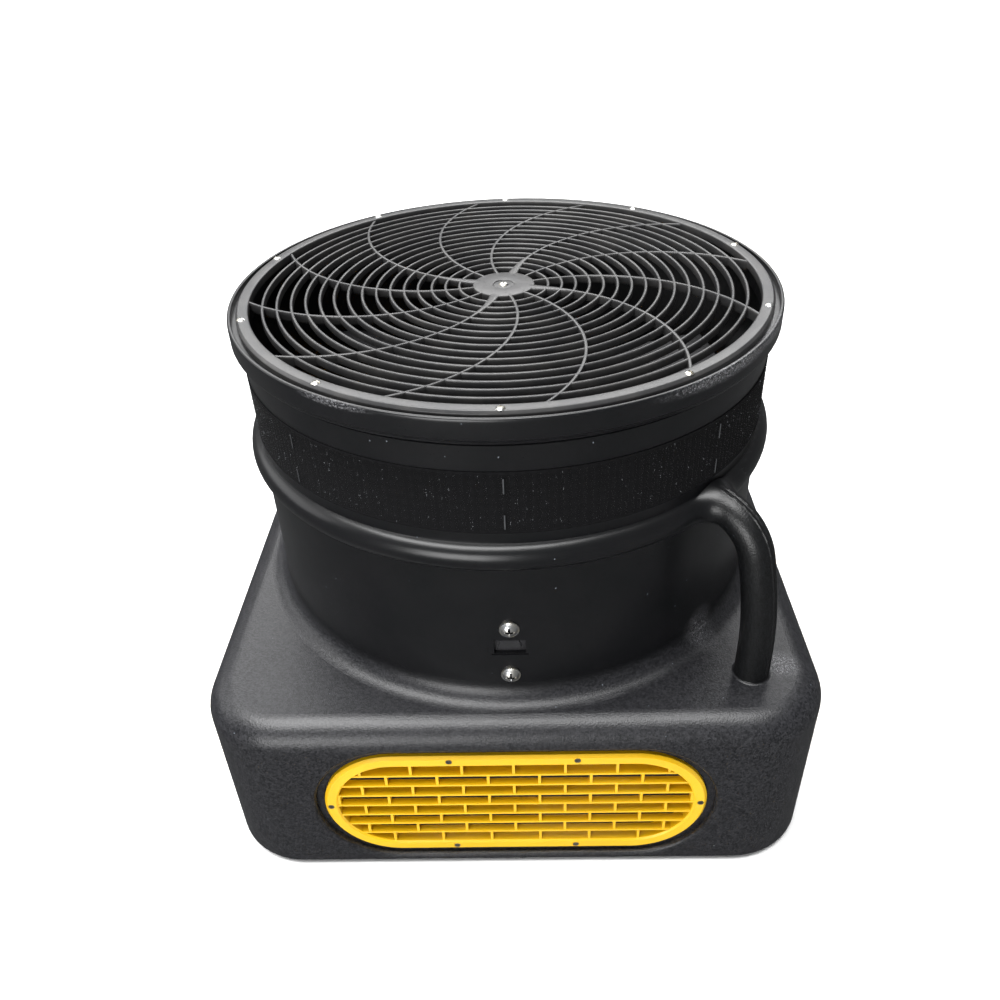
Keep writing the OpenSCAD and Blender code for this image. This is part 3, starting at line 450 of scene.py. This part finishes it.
def glossy_yellow_abs():
    """Injection-moulded ABS, full yellow: a glossy skin with sharp highlights, a tone that drifts a
    little where the melt flowed, and a very faint orange peel."""
    made, tree, place = blank("glossy_yellow_abs")
    flow = add(tree, "TexNoise", {"Vector": place, "Scale": per_mm(60), "Detail": 2}).outputs["Fac"]
    even = add(tree, "MapRange", {"Value": flow, "From Min": 0.35, "From Max": 0.65}).outputs[0]
    tone = add(tree, "Mix", {0: even, 6: colour("#dcac00"), 7: colour("#e2b304")},
               data_type="RGBA").outputs[2]
    peel = add(tree, "TexNoise", {"Vector": place, "Scale": per_mm(4), "Detail": 1}).outputs["Fac"]
    bumps = add(tree, "Bump", {"Height": peel, "Strength": 0.2, "Distance": 0.03 * MM}).outputs[0]
    uneven = add(tree, "Math", {0: flow, 1: 0.1, 2: 0.33}, operation="MULTIPLY_ADD").outputs[0]
    surface(tree, {"Base Color": tone, "Roughness": uneven, "IOR": 1.54, "Normal": bumps})
    return made


grille_yellow = glossy_yellow_abs()
for side in ("front", "right", "rear", "left"):
    insert = softened("intake_grille_" + side, GRILLE_ROUND, grille_yellow)
    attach(insert, "housing")


# ---- Outlet guard ----
# A spiral guard of glass-filled nylon, injection moulded in one: fifteen rings, twelve curved ribs
# flush with the rings' tops, a dished hub disc and a bevelled rim, screwed down inside the lip.
guard_low, guard_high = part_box("outlet_guard")
GUARD_SEAT = 455 * MM
RING_COUNT = 15
RING_FIRST = 39.5 * MM
RING_STEP = 12.25 * MM
RING_W = 2.6 * MM
RING_FOOT = 2 * MM
RIM_IN = 222.5 * MM
RIM_OUT = 233.4 * MM
RIM_BEVEL = (1.8 * MM, 2.4 * MM)
HUB_R = 27.5 * MM
HUB_DOWN = 3.7 * MM
HUB_SINK_R = 9 * MM
HUB_SINK = 0.5 * MM
DISH = 2.5 * MM
RIB_COUNT = 12
RIB_W = 2.7 * MM
RIB_ARC_R = 147 * MM
RIB_CENTRE_AT = 151.2 * MM
RIB_CENTRE_TURN = math.radians(-75.5)
RIB_ENDS = np.radians([95.5, 7.2])
RIB_FIRST = math.radians(12.5)
ROOT_W = 3.2 * MM
ROOT_TURN = math.radians(18)


def glass_filled_nylon():
    """Glass-filled polyamide, black: the fibres reach the skin and leave it dry and greyish, with
    a fine sparkle and paler streaks where it has been rubbed."""
    made, tree, place = blank("glass_filled_nylon")
    fibre = add(tree, "TexNoise", {"Vector": place, "Scale": per_mm(1.1), "Detail": 4,
                "Roughness": 0.7}).outputs["Fac"]
    rubbed = add(tree, "TexNoise", {"Vector": place, "Scale": per_mm(30), "Detail": 5,
                 "Roughness": 0.65}).outputs["Fac"]
    pale = add(tree, "MapRange", {"Value": rubbed, "From Min": 0.4, "From Max": 0.7}).outputs[0]
    tone = add(tree, "Mix", {0: pale, 6: colour("#39393a"), 7: colour("#4b4a49")},
               data_type="RGBA").outputs[2]
    bumps = add(tree, "Bump", {"Height": fibre, "Strength": 0.6, "Distance": 0.10 * MM}).outputs[0]
    uneven = add(tree, "Math", {0: fibre, 1: 0.18, 2: 0.22}, operation="MULTIPLY_ADD").outputs[0]
    surface(tree, {"Base Color": tone, "Roughness": uneven, "IOR": 1.53, "Normal": bumps})
    return made


def ring_top(radius):
    """Height of the guard's face: it falls by the dish in a straight line from rim to hub."""
    return guard_high.z - HUB_DOWN + DISH * (radius - HUB_R) / (RIM_IN - HUB_R)


def guard_ring(radius):
    """A ring with a round top: a tall rectangle whose upper corners are rounded away."""
    top, foot = ring_top(radius), guard_low.z + RING_FOOT
    outline = [(radius - RING_W / 2, foot), (radius + RING_W / 2, foot),
               (radius + RING_W / 2, top), (radius - RING_W / 2, top)]
    size = np.array([0.2 * MM, 0.2 * MM, RING_W / 2, RING_W / 2])
    return round_axis(rounded(outline, size, steps=5), 240)


def guard_rib(k):
    """A curved rib: a section of (across, part of the height) points carried along a circular arc
    that starts at the hub; at angle a a point is c + (r + across) (cos a, sin a), with c the arc's
    middle. Every third rib is thicker at its root."""
    a = np.linspace(*RIB_ENDS, 90)[:, None]
    section = rounded([(-0.5, 0), (0.5, 0), (0.5, 1), (-0.5, 1)], 0.24, steps=4)
    root = np.clip(1 - (RIB_ENDS[0] - a) / ROOT_TURN, 0, 1) if k % 3 == 2 else 0 * a
    across = section[:, 0] * (RIB_W + 2 * ROOT_W * root)
    centre = RIB_CENTRE_AT * np.array([math.cos(RIB_CENTRE_TURN), math.sin(RIB_CENTRE_TURN)])
    x = centre[0] + (RIB_ARC_R + across) * np.cos(a)
    y = centre[1] + (RIB_ARC_R + across) * np.sin(a)
    top = ring_top(np.hypot(x, y)) + 0.1 * MM
    z = guard_low.z + section[:, 1] * (top - guard_low.z)
    t = RIB_FIRST + 2 * np.pi / RIB_COUNT * k
    return np.stack([x * math.cos(t) - y * math.sin(t), x * math.sin(t) + y * math.cos(t), z], -1)


hub_top = ring_top(HUB_R)
hub_outline = [(HUB_SINK_R, guard_low.z), (HUB_R, guard_low.z), (HUB_R, hub_top),
               (HUB_SINK_R + MM, hub_top), (HUB_SINK_R, hub_top - HUB_SINK)]
hub_curve = rounded(hub_outline, np.array([0.2, 0.2, 1.2, 0.4, 0.4]) * MM, steps=5)
hub_middle = np.array([(0, hub_top - HUB_SINK), (0, guard_low.z)])
rim_outline = [(RIM_IN, GUARD_SEAT), (RIM_OUT, GUARD_SEAT), (RIM_OUT, guard_high.z - RIM_BEVEL[1]),
               (RIM_OUT - RIM_BEVEL[0], guard_high.z), (RIM_IN, guard_high.z)]
rim_section = rounded(rim_outline, np.array([0.2, 0.2, 0.5, 0.6, 1.4]) * MM, steps=5)
round_parts = [round_axis(np.concatenate([hub_curve, hub_middle]), 120), round_axis(rim_section, 480)]
round_parts += [guard_ring(RING_FIRST + RING_STEP * k) for k in range(RING_COUNT)]
guard_nylon = glass_filled_nylon()
guard_rings = shells("outlet_guard_rings", round_parts, guard_nylon)
guard_ribs = shells("outlet_guard_ribs", [guard_rib(k) for k in range(RIB_COUNT)], guard_nylon,
                    capped=True)
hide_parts("outlet_guard")
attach(guard_rings, "housing")
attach(guard_ribs, "housing")


# ---- Hook tape ----
# A 55 mm band of woven black nylon with a selvedge along both edges and stiff hooks standing up in
# upright rows between them. It is glued and stapled round the neck, and a fabric duct grips it.
tape_low, tape_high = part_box("hook_tape")
BACKING_UP = 0.55 * MM
SELVEDGE_W = 2.6 * MM
SELVEDGE_UP = 0.95 * MM
HOOK_EDGE = 0.7 * MM
HOOK_COLUMN_MM = 2.8
HOOK_PAIRING = 0.45 * MM
HOOK_ROW_MM = 1.65
HOOK_R = 0.24 * MM
HOOK_KNEE = 0.62 * MM
HOOK_REACH = 0.98 * MM
HOOK_LEAN = 0.75 * MM
THREAD_MM = 1.2
TAPE_UP = 1.6 * MM
BAND_STEPS = 480
neck_r = tape_high.x - TAPE_UP


def woven_nylon():
    """Woven nylon backing: matt black thread. The real threads are 0.4 mm apart and are drawn at
    1.2 mm, so that the weave shows between the hooks."""
    made, tree, _ = blank("woven_nylon")
    along = add(tree, "UVMap").outputs["UV"]
    warp = add(tree, "TexWave", {"Vector": along, "Scale": per_mm(THREAD_MM) / 20},
               bands_direction="X").outputs["Fac"]
    weft = add(tree, "TexWave", {"Vector": along, "Scale": per_mm(THREAD_MM) / 20},
               bands_direction="Y").outputs["Fac"]
    cloth = add(tree, "Math", {0: warp, 1: weft}, operation="MULTIPLY").outputs[0]
    tone = add(tree, "Mix", {0: cloth, 6: colour("#08080a"), 7: colour("#0c0c0e")},
               data_type="RGBA").outputs[2]
    bumps = add(tree, "Bump", {"Height": cloth, "Strength": 0.3, "Distance": 0.1 * MM}).outputs[0]
    surface(tree, {"Base Color": tone, "Roughness": 0.9, "Specular IOR Level": 0.2, "Normal": bumps})
    return made


def drawn_nylon():
    """Drawn nylon filament: smooth and glossy, so each hook throws a pinpoint highlight. Here and
    there a hook, picked at random, is painted pale grey: a painted glint."""
    made, tree, place = blank("drawn_nylon_hooks_painted_glints")
    glint_pick = add(tree, "TexVoronoi", {"Vector": place, "Scale": per_mm(2.2)}).outputs["Color"]
    chance = add(tree, "SeparateColor", {0: glint_pick}).outputs[0]
    # Painted glints: the few hooks whose random cell value is near the top are painted pale grey.
    bright = add(tree, "MapRange", {"Value": chance, "From Min": 0.93, "From Max": 0.99}).outputs[0]
    tone = add(tree, "Mix", {0: bright, 6: colour("#0e0e10"), 7: colour("#9a9da2")},
               data_type="RGBA").outputs[2]
    surface(tree, {"Base Color": tone, "Roughness": 0.28, "IOR": 1.53})
    return made


band_profile = np.array([(-0.1 * MM, 0), (0.6 * MM, 0), (SELVEDGE_UP, 0.5 * MM),
                         (SELVEDGE_UP, SELVEDGE_W - 0.6 * MM), (BACKING_UP, SELVEDGE_W)])
tape_w = tape_high.z - tape_low.z
band_section = np.concatenate([band_profile, (band_profile * (1, -1) + (0, tape_w))[::-1]])
band_section += (neck_r, tape_low.z)
band_u = np.linspace(0, 2 * np.pi * neck_r, BAND_STEPS + 1)[:, None]
band_uv = np.stack(np.broadcast_arrays(band_u[:-1], band_section[:, 1][None, :]), -1)
tape_band = shells("hook_tape_band", [round_axis(band_section, BAND_STEPS)], woven_nylon(),
                   uv=band_uv)
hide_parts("hook_tape")
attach(tape_band, "housing")


def hook_field():
    """Hooks on the neck: at turn t and height z each is a three-sided spike, a ring of radius r on
    the backing, a ring at the knee, and a tip that leans over up or down, column by column, with a
    seeded scatter. Returns its vertices and triangles."""
    chance = np.random.default_rng(7)
    columns = round(2 * np.pi * neck_r / (HOOK_COLUMN_MM * MM))
    tall = tape_w - 2 * SELVEDGE_W - 2 * HOOK_EDGE
    rows = int(tall / (HOOK_ROW_MM * MM))
    column = np.arange(columns)[:, None]
    pairing = np.where(column % 2, 1, -1) * HOOK_PAIRING / neck_r
    t = column * 2 * np.pi / columns + pairing + chance.normal(0, 0.0022, (columns, rows))
    z = tape_low.z + SELVEDGE_W + HOOK_EDGE + np.linspace(0, tall, rows)[None, :]
    z = z + column % 2 * 0.4 * HOOK_ROW_MM * MM + chance.normal(0, 0.4 * MM, t.shape)
    lean = np.where(column % 2, 1, -1) * HOOK_LEAN * chance.uniform(0.6, 1.1, t.shape)
    skew = chance.normal(0, 0.25 * MM, t.shape)
    zero = np.zeros_like(t)
    ring = np.arange(3) * 2 * np.pi / 3
    out, side, up = [], [], []
    for reach, drift in ((BACKING_UP - 0.2 * MM, 0), (HOOK_KNEE, 0.15)):
        for a in ring:
            out.append(zero + reach)
            side.append(HOOK_R * math.cos(a) + skew * drift)
            up.append(HOOK_R * math.sin(a) + lean * drift)
    out.append(zero + HOOK_REACH + (HOOK_REACH - HOOK_KNEE) * chance.uniform(-0.3, 1.4, t.shape))
    side.append(skew)
    up.append(lean)
    out, side, up = (np.stack([zero + part for part in parts], -1) for parts in (out, side, up))
    radius = neck_r + out
    turn = t[..., None] + side / neck_r
    points = np.stack([radius * np.cos(turn), radius * np.sin(turn), z[..., None] + up], -1)
    faces = [(2, 1, 0)]
    for a, b in ((0, 1), (1, 2), (2, 0)):
        faces += [(a, b, b + 3), (a, b + 3, a + 3), (a + 3, b + 3, 6)]
    first = np.arange(columns * rows)[:, None, None] * 7
    return points.reshape(-1, 3), (first + np.array(faces)[None]).reshape(-1, 3)


hook_points, hook_faces = hook_field()
hooks_mesh = bpy.data.meshes.new("hook_tape_hooks")
hooks_mesh.from_pydata(hook_points.tolist(), [], hook_faces.tolist())
hooks_mesh.polygons.foreach_set("use_smooth", [True] * len(hooks_mesh.polygons))
hooks_mesh.materials.append(drawn_nylon())
tape_hooks = bpy.data.objects.new("hook_tape_hooks", hooks_mesh)
bpy.context.scene.collection.objects.link(tape_hooks)
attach(tape_hooks, "housing")


# ---- Fasteners and staples ----
# Pan-head machine screws, washers, nuts and tie bolts, all zinc plated; the grilles' small screws
# have a duller plate, and the tape's staples are bright drawn wire.
BRACKET_SCREW_MID = 235.9 * MM
BRACKET_SCREW_OFF = 25.8 * MM
CROSS_W = 1.15 * MM
CROSS_REACH = 3.3 * MM


def painted_cross_shade(tree, place):
    """How much painted shade a point gets: 1 in the crossed recess of a bracket screw's head, else 0.
    Across its head a point lies u = min(|x|, |y|) sideways and v = ||z - middle| - half spacing|
    upwards; the cross is where the lesser of u and v is within an arm's width and the greater in its reach."""
    size = add(tree, "VectorMath", {0: place}, operation="ABSOLUTE").outputs[0]
    parts = add(tree, "SeparateXYZ", {0: size})
    sideways = add(tree, "Math", {0: parts.outputs[0], 1: parts.outputs[1]}, operation="MINIMUM").outputs[0]
    level = add(tree, "Math", {0: parts.outputs[2], 1: BRACKET_SCREW_MID}, operation="SUBTRACT").outputs[0]
    level = add(tree, "Math", {0: level}, operation="ABSOLUTE").outputs[0]
    level = add(tree, "Math", {0: level, 1: BRACKET_SCREW_OFF}, operation="SUBTRACT").outputs[0]
    upwards = add(tree, "Math", {0: level}, operation="ABSOLUTE").outputs[0]
    thin = add(tree, "Math", {0: sideways, 1: upwards}, operation="MINIMUM").outputs[0]
    far = add(tree, "Math", {0: sideways, 1: upwards}, operation="MAXIMUM").outputs[0]
    arm = add(tree, "MapRange", {"Value": thin, "From Min": CROSS_W, "From Max": CROSS_W * 0.6}).outputs[0]
    end = add(tree, "MapRange", {"Value": far, "From Min": CROSS_REACH, "From Max": CROSS_REACH * 0.9})
    return add(tree, "Math", {0: arm, 1: end.outputs[0]}, operation="MULTIPLY").outputs[0]


def plated_steel(name, tone, tint, roughness, painted_recess_shade=False):
    """Zinc-plated steel: a bright metal with a faint bluish and straw tint left by the passivating
    dip, and slightly uneven gloss, so that no two heads look alike. When set, the last argument
    paints shade, a near-black, into the screws' crossed recesses, standing in for their shadow."""
    made, tree, place = blank(name)
    dip = add(tree, "TexNoise", {"Vector": place, "Scale": per_mm(5), "Detail": 3}).outputs["Fac"]
    tinted = add(tree, "MapRange", {"Value": dip, "From Min": 0.35, "From Max": 0.65}).outputs[0]
    mixed = add(tree, "Mix", {0: tinted, 6: colour(tone), 7: colour(tint)}, data_type="RGBA").outputs[2]
    if painted_recess_shade:
        # Painted shade: the crossed recesses are laid near-black, standing in for their shadow.
        mixed = add(tree, "Mix", {0: painted_cross_shade(tree, place), 6: mixed, 7: colour("#1c1d1e")},
                    data_type="RGBA").outputs[2]
    crystals = add(tree, "TexNoise", {"Vector": place, "Scale": per_mm(0.6), "Detail": 2}).outputs["Fac"]
    bumps = add(tree, "Bump", {"Height": crystals, "Strength": 0.3, "Distance": 0.05 * MM}).outputs[0]
    uneven = add(tree, "Math", {0: dip, 1: 0.2, 2: roughness - 0.1}, operation="MULTIPLY_ADD")
    surface(tree, {"Base Color": mixed, "Metallic": 1.0, "Roughness": uneven.outputs[0],
                   "Normal": bumps})
    return made


dress(plated_steel("zinc_plated_steel", "#d5d8dc", "#e2dccb", 0.28),
      "base_plate_screws", "foot_screws", "guard_screws", "guard_hub_screw", "guard_hub_nut",
      "bracket_washers", "bracket_nuts", "motor_mount_screws", "motor_tie_bolts",
      "switch_lid_screws", "fan_washer", "fan_nut")
# The bracket screws' crossed recesses carry painted shade.
dress(plated_steel("grimy_zinc_plated_steel", "#e8eaec", "#efece4", 0.36, painted_recess_shade=True), "bracket_screws")
dress(plated_steel("dull_zinc_plated_steel", "#a9a69f", "#bdbab2", 0.35), "grille_screws")
dress(plated_steel("bright_staple_wire", "#c9ccd0", "#dadde0", 0.22), "tape_staples")


# ---- Motor bracket ----
# Four welded steel arms with foot plates, powder coated black, which hold the motor by a ring in
# the middle of the tube.
def powder_coat(name, tone, shade, roughness, peel_mm, deep_mm):
    """Powder coat or enamel baked on metal: an even colour under a soft orange peel."""
    made, tree, place = blank(name)
    peel = add(tree, "TexNoise", {"Vector": place, "Scale": per_mm(peel_mm), "Detail": 2}).outputs["Fac"]
    mixed = add(tree, "Mix", {0: peel, 6: colour(tone), 7: colour(shade)}, data_type="RGBA").outputs[2]
    bumps = add(tree, "Bump", {"Height": peel, "Strength": 0.7, "Distance": deep_mm * MM}).outputs[0]
    uneven = add(tree, "Math", {0: peel, 1: 0.15, 2: roughness - 0.07}, operation="MULTIPLY_ADD")
    surface(tree, {"Base Color": mixed, "Roughness": uneven.outputs[0], "IOR": 1.55, "Normal": bumps,
                   "Coat Weight": 0.25, "Coat Roughness": 0.2})
    return made


dress(powder_coat("black_powder_coat", "#232325", "#2b2b2e", 0.42, 2.5, 0.20), "motor_bracket")


# ---- Motor ----
# A closed induction motor: a rolled steel can in enamel, two cast aluminium end bells, a laminated
# stator with varnished copper windings, two ball bearings, and the laminated rotor on its shaft.
def cast_aluminium():
    """Sand-finish die-cast aluminium: a dull grey metal with a grainy skin."""
    made, tree, place = blank("cast_aluminium")
    sand = add(tree, "TexNoise", {"Vector": place, "Scale": per_mm(1.5), "Detail": 4}).outputs["Fac"]
    tone = add(tree, "Mix", {0: sand, 6: colour("#8f9193"), 7: colour("#b4b6b8")},
               data_type="RGBA").outputs[2]
    bumps = add(tree, "Bump", {"Height": sand, "Strength": 0.8, "Distance": 0.2 * MM}).outputs[0]
    surface(tree, {"Base Color": tone, "Metallic": 1.0, "Roughness": 0.52, "Normal": bumps})
    return made


def layered_metal(name, tone, groove, spacing_mm, roughness, direction):
    """Metal that repeats in layers, such as 1 mm laminations (drawn twice as thick as real ones, so
    that they show) or wound wire: bands of tone with darker grooves between them."""
    made, tree, place = blank(name)
    bands = add(tree, "TexWave", {"Vector": place, "Scale": per_mm(spacing_mm) / 20, "Distortion": 0.3,
                "Detail": 1}, bands_direction=direction).outputs["Fac"]
    mixed = add(tree, "Mix", {0: bands, 6: colour(groove), 7: colour(tone)}, data_type="RGBA").outputs[2]
    bumps = add(tree, "Bump", {"Height": bands, "Strength": 0.8, "Distance": 0.25 * MM}).outputs[0]
    surface(tree, {"Base Color": mixed, "Metallic": 1.0, "Roughness": roughness, "Normal": bumps})
    return made


def ground_steel():
    """Ground steel: fine turning marks round the upright axis stretch its highlights."""
    made, tree, place = blank("ground_steel")
    squeezed = add(tree, "Mapping", {"Vector": place, "Scale": (1, 1, 40)}).outputs[0]
    marks = add(tree, "TexNoise", {"Vector": squeezed, "Scale": per_mm(20), "Detail": 4}).outputs["Fac"]
    tone = add(tree, "Mix", {0: marks, 6: colour("#a9abae"), 7: colour("#d0d2d4")},
               data_type="RGBA").outputs[2]
    bumps = add(tree, "Bump", {"Height": marks, "Strength": 0.4, "Distance": 0.05 * MM}).outputs[0]
    surface(tree, {"Base Color": tone, "Metallic": 1.0, "Roughness": 0.25, "Normal": bumps})
    return made


dress(powder_coat("grey_motor_enamel", "#2e3033", "#383a3e", 0.35, 3.0, 0.15), "motor_can")
dress(cast_aluminium(), "motor_end_bell_upper", "motor_end_bell_lower")
dress(layered_metal("electrical_laminations", "#85888c", "#3c3e41", 1.0, 0.45, "Z"),
      "stator_core", "rotor_core")
dress(layered_metal("varnished_copper_wire", "#b8683a", "#5e2c14", 1.2, 0.35, "Z"), "stator_windings")
dress(ground_steel(), "bearing_upper", "bearing_lower", "motor_shaft", "shaft_key")


# ---- Fan ----
# An axial fan moulded in black glass-filled nylon: a hub and six twisted blades, keyed to the shaft
# and held down by a washer and nut.
dress(moulded_plastic("moulded_fan_nylon", "#1d1d1f", "#252527", 0.48, 1.6, 0.12, 1.53),
      "fan_hub", "fan_blades")


# ---- Switch box ----
# A shallow ABS box with a screwed lid on the tube's rear right, spark textured, with the on/off
# rocker in its lid, the motor's capacitor inside, and an empty cable gland in its side.
BOX_ROUND = 1.2 * MM
ROCKER_ROUND = 0.5 * MM

box_black = moulded_plastic("spark_textured_abs", "#2a2a2c", "#303033", 0.50, 1.3, 0.15, 1.54)
for part, width in (("switch_box", BOX_ROUND), ("switch_box_lid", BOX_ROUND)):
    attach(softened(part, width, box_black, steps=3), "housing")
switch_black = moulded_plastic("glossy_black_nylon", "#151516", "#1b1b1d", 0.22, 4.0, 0.04, 1.53)
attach(softened("switch_body", ROCKER_ROUND, switch_black), "housing")
rocker_red = moulded_plastic("glossy_red_polycarbonate", "#a80d0a", "#b81410", 0.18, 5.0, 0.04, 1.58)
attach(softened("switch_rocker", ROCKER_ROUND, rocker_red), "rocker")
gland_nylon = moulded_plastic("satin_black_nylon", "#242426", "#2b2b2d", 0.40, 2.0, 0.08, 1.53)
dress(gland_nylon, "cable_gland", "gland_locknut")
dress(layered_metal("drawn_aluminium_can", "#c2c4c6", "#9a9c9f", 3.0, 0.32, "Z"), "run_capacitor")


# ---- Motor lead ----
# A short rubber-sheathed lead from the motor, along the tube's inner wall, through a grommet into
# the switch box. It is held all the way, so the CAD route stays as it is.
dress(foot_rubber, "motor_lead", "lead_grommet")


# ---- Studio ----
# A plain pale floor with a plain pale wall far round it, a big soft overhead light a little to the
# left, soft panels at the left and in front, and one behind, which draws the guard's rings.
FLOOR_R = 20.0
WALL_H = 14.0
WALL_SIDES = 96
SKY_STRENGTH = 0.14

scene = bpy.context.scene
scene.view_settings.view_transform = "Standard"


def pale_paint(name, tone, glow):
    """Matt white studio paint with a faint roller mottle. glow is light of its own, for the far wall
    that no lamp reaches."""
    made, tree, place = blank(name)
    mottle = add(tree, "TexNoise", {"Vector": place, "Scale": per_mm(300), "Detail": 2}).outputs["Fac"]
    mixed = add(tree, "Mix", {0: mottle, 6: colour(tone), 7: colour("#fafafa")},
                data_type="RGBA").outputs[2]
    surface(tree, {"Base Color": mixed, "Roughness": 0.9, "Emission Color": (1, 1, 1, 1),
                   "Emission Strength": glow})
    return made


def studio_piece(name, points, faces, material):
    """A flat or curved backdrop from its points and faces, which the object doesn't mirror."""
    mesh = bpy.data.meshes.new(name)
    mesh.from_pydata(points, [], faces)
    mesh.materials.append(material)
    made = bpy.data.objects.new(name, mesh)
    made.visible_glossy = False
    scene.collection.objects.link(made)
    return made


floor_turn = np.linspace(0, 2 * np.pi, WALL_SIDES, endpoint=False)
edge = np.stack([FLOOR_R * np.cos(floor_turn), FLOOR_R * np.sin(floor_turn), 0 * floor_turn], -1)
studio_piece("floor", edge.tolist(), [list(range(WALL_SIDES))], pale_paint("floor_paint", "#f4f4f4", 0.0))
wall_points = np.concatenate([edge, edge + (0, 0, WALL_H)]).tolist()
near = np.arange(WALL_SIDES)
beside = (near + 1) % WALL_SIDES
wall_faces = np.stack([near, near + WALL_SIDES, beside + WALL_SIDES, beside], -1).tolist()
wall = studio_piece("wall", wall_points, wall_faces, pale_paint("wall_paint", "#f4f4f4", 1.0))
wall.visible_diffuse = False
wall.visible_shadow = False

world = bpy.data.worlds.new("studio")
world.use_nodes = True
world.node_tree.nodes["Background"].inputs["Color"].default_value = (0.97, 0.985, 1.0, 1)
world.node_tree.nodes["Background"].inputs["Strength"].default_value = SKY_STRENGTH
scene.world = world


def lamp(name, kind, place, aim, energy, **settings):
    """A light at place, turned to aim."""
    data = bpy.data.lights.new(name, kind)
    data.energy = energy
    for key, value in settings.items():
        setattr(data, key, value)
    made = bpy.data.objects.new(name, data)
    made.location = place
    made.rotation_euler = (Vector(aim) - Vector(place)).to_track_quat("-Z", "Y").to_euler()
    made.visible_camera = False
    scene.collection.objects.link(made)


lamp("overhead", "SUN", (-0.45, 0.05, 3.0), (0, 0, 0), 6.1, angle=math.radians(50))
lamp("behind", "AREA", (-0.1, 2.0, 1.9), (0, 0, 0.4), 42, shape="RECTANGLE", size=3.0, size_y=0.9)
lamp("left", "AREA", (-2.3, 0.5, 1.4), (0, 0, 0.4), 16, shape="RECTANGLE", size=2.2, size_y=1.3)
lamp("front", "AREA", (-0.9, -2.5, 0.7), (0, 0, 0.2), 42, shape="SQUARE", size=1.4)
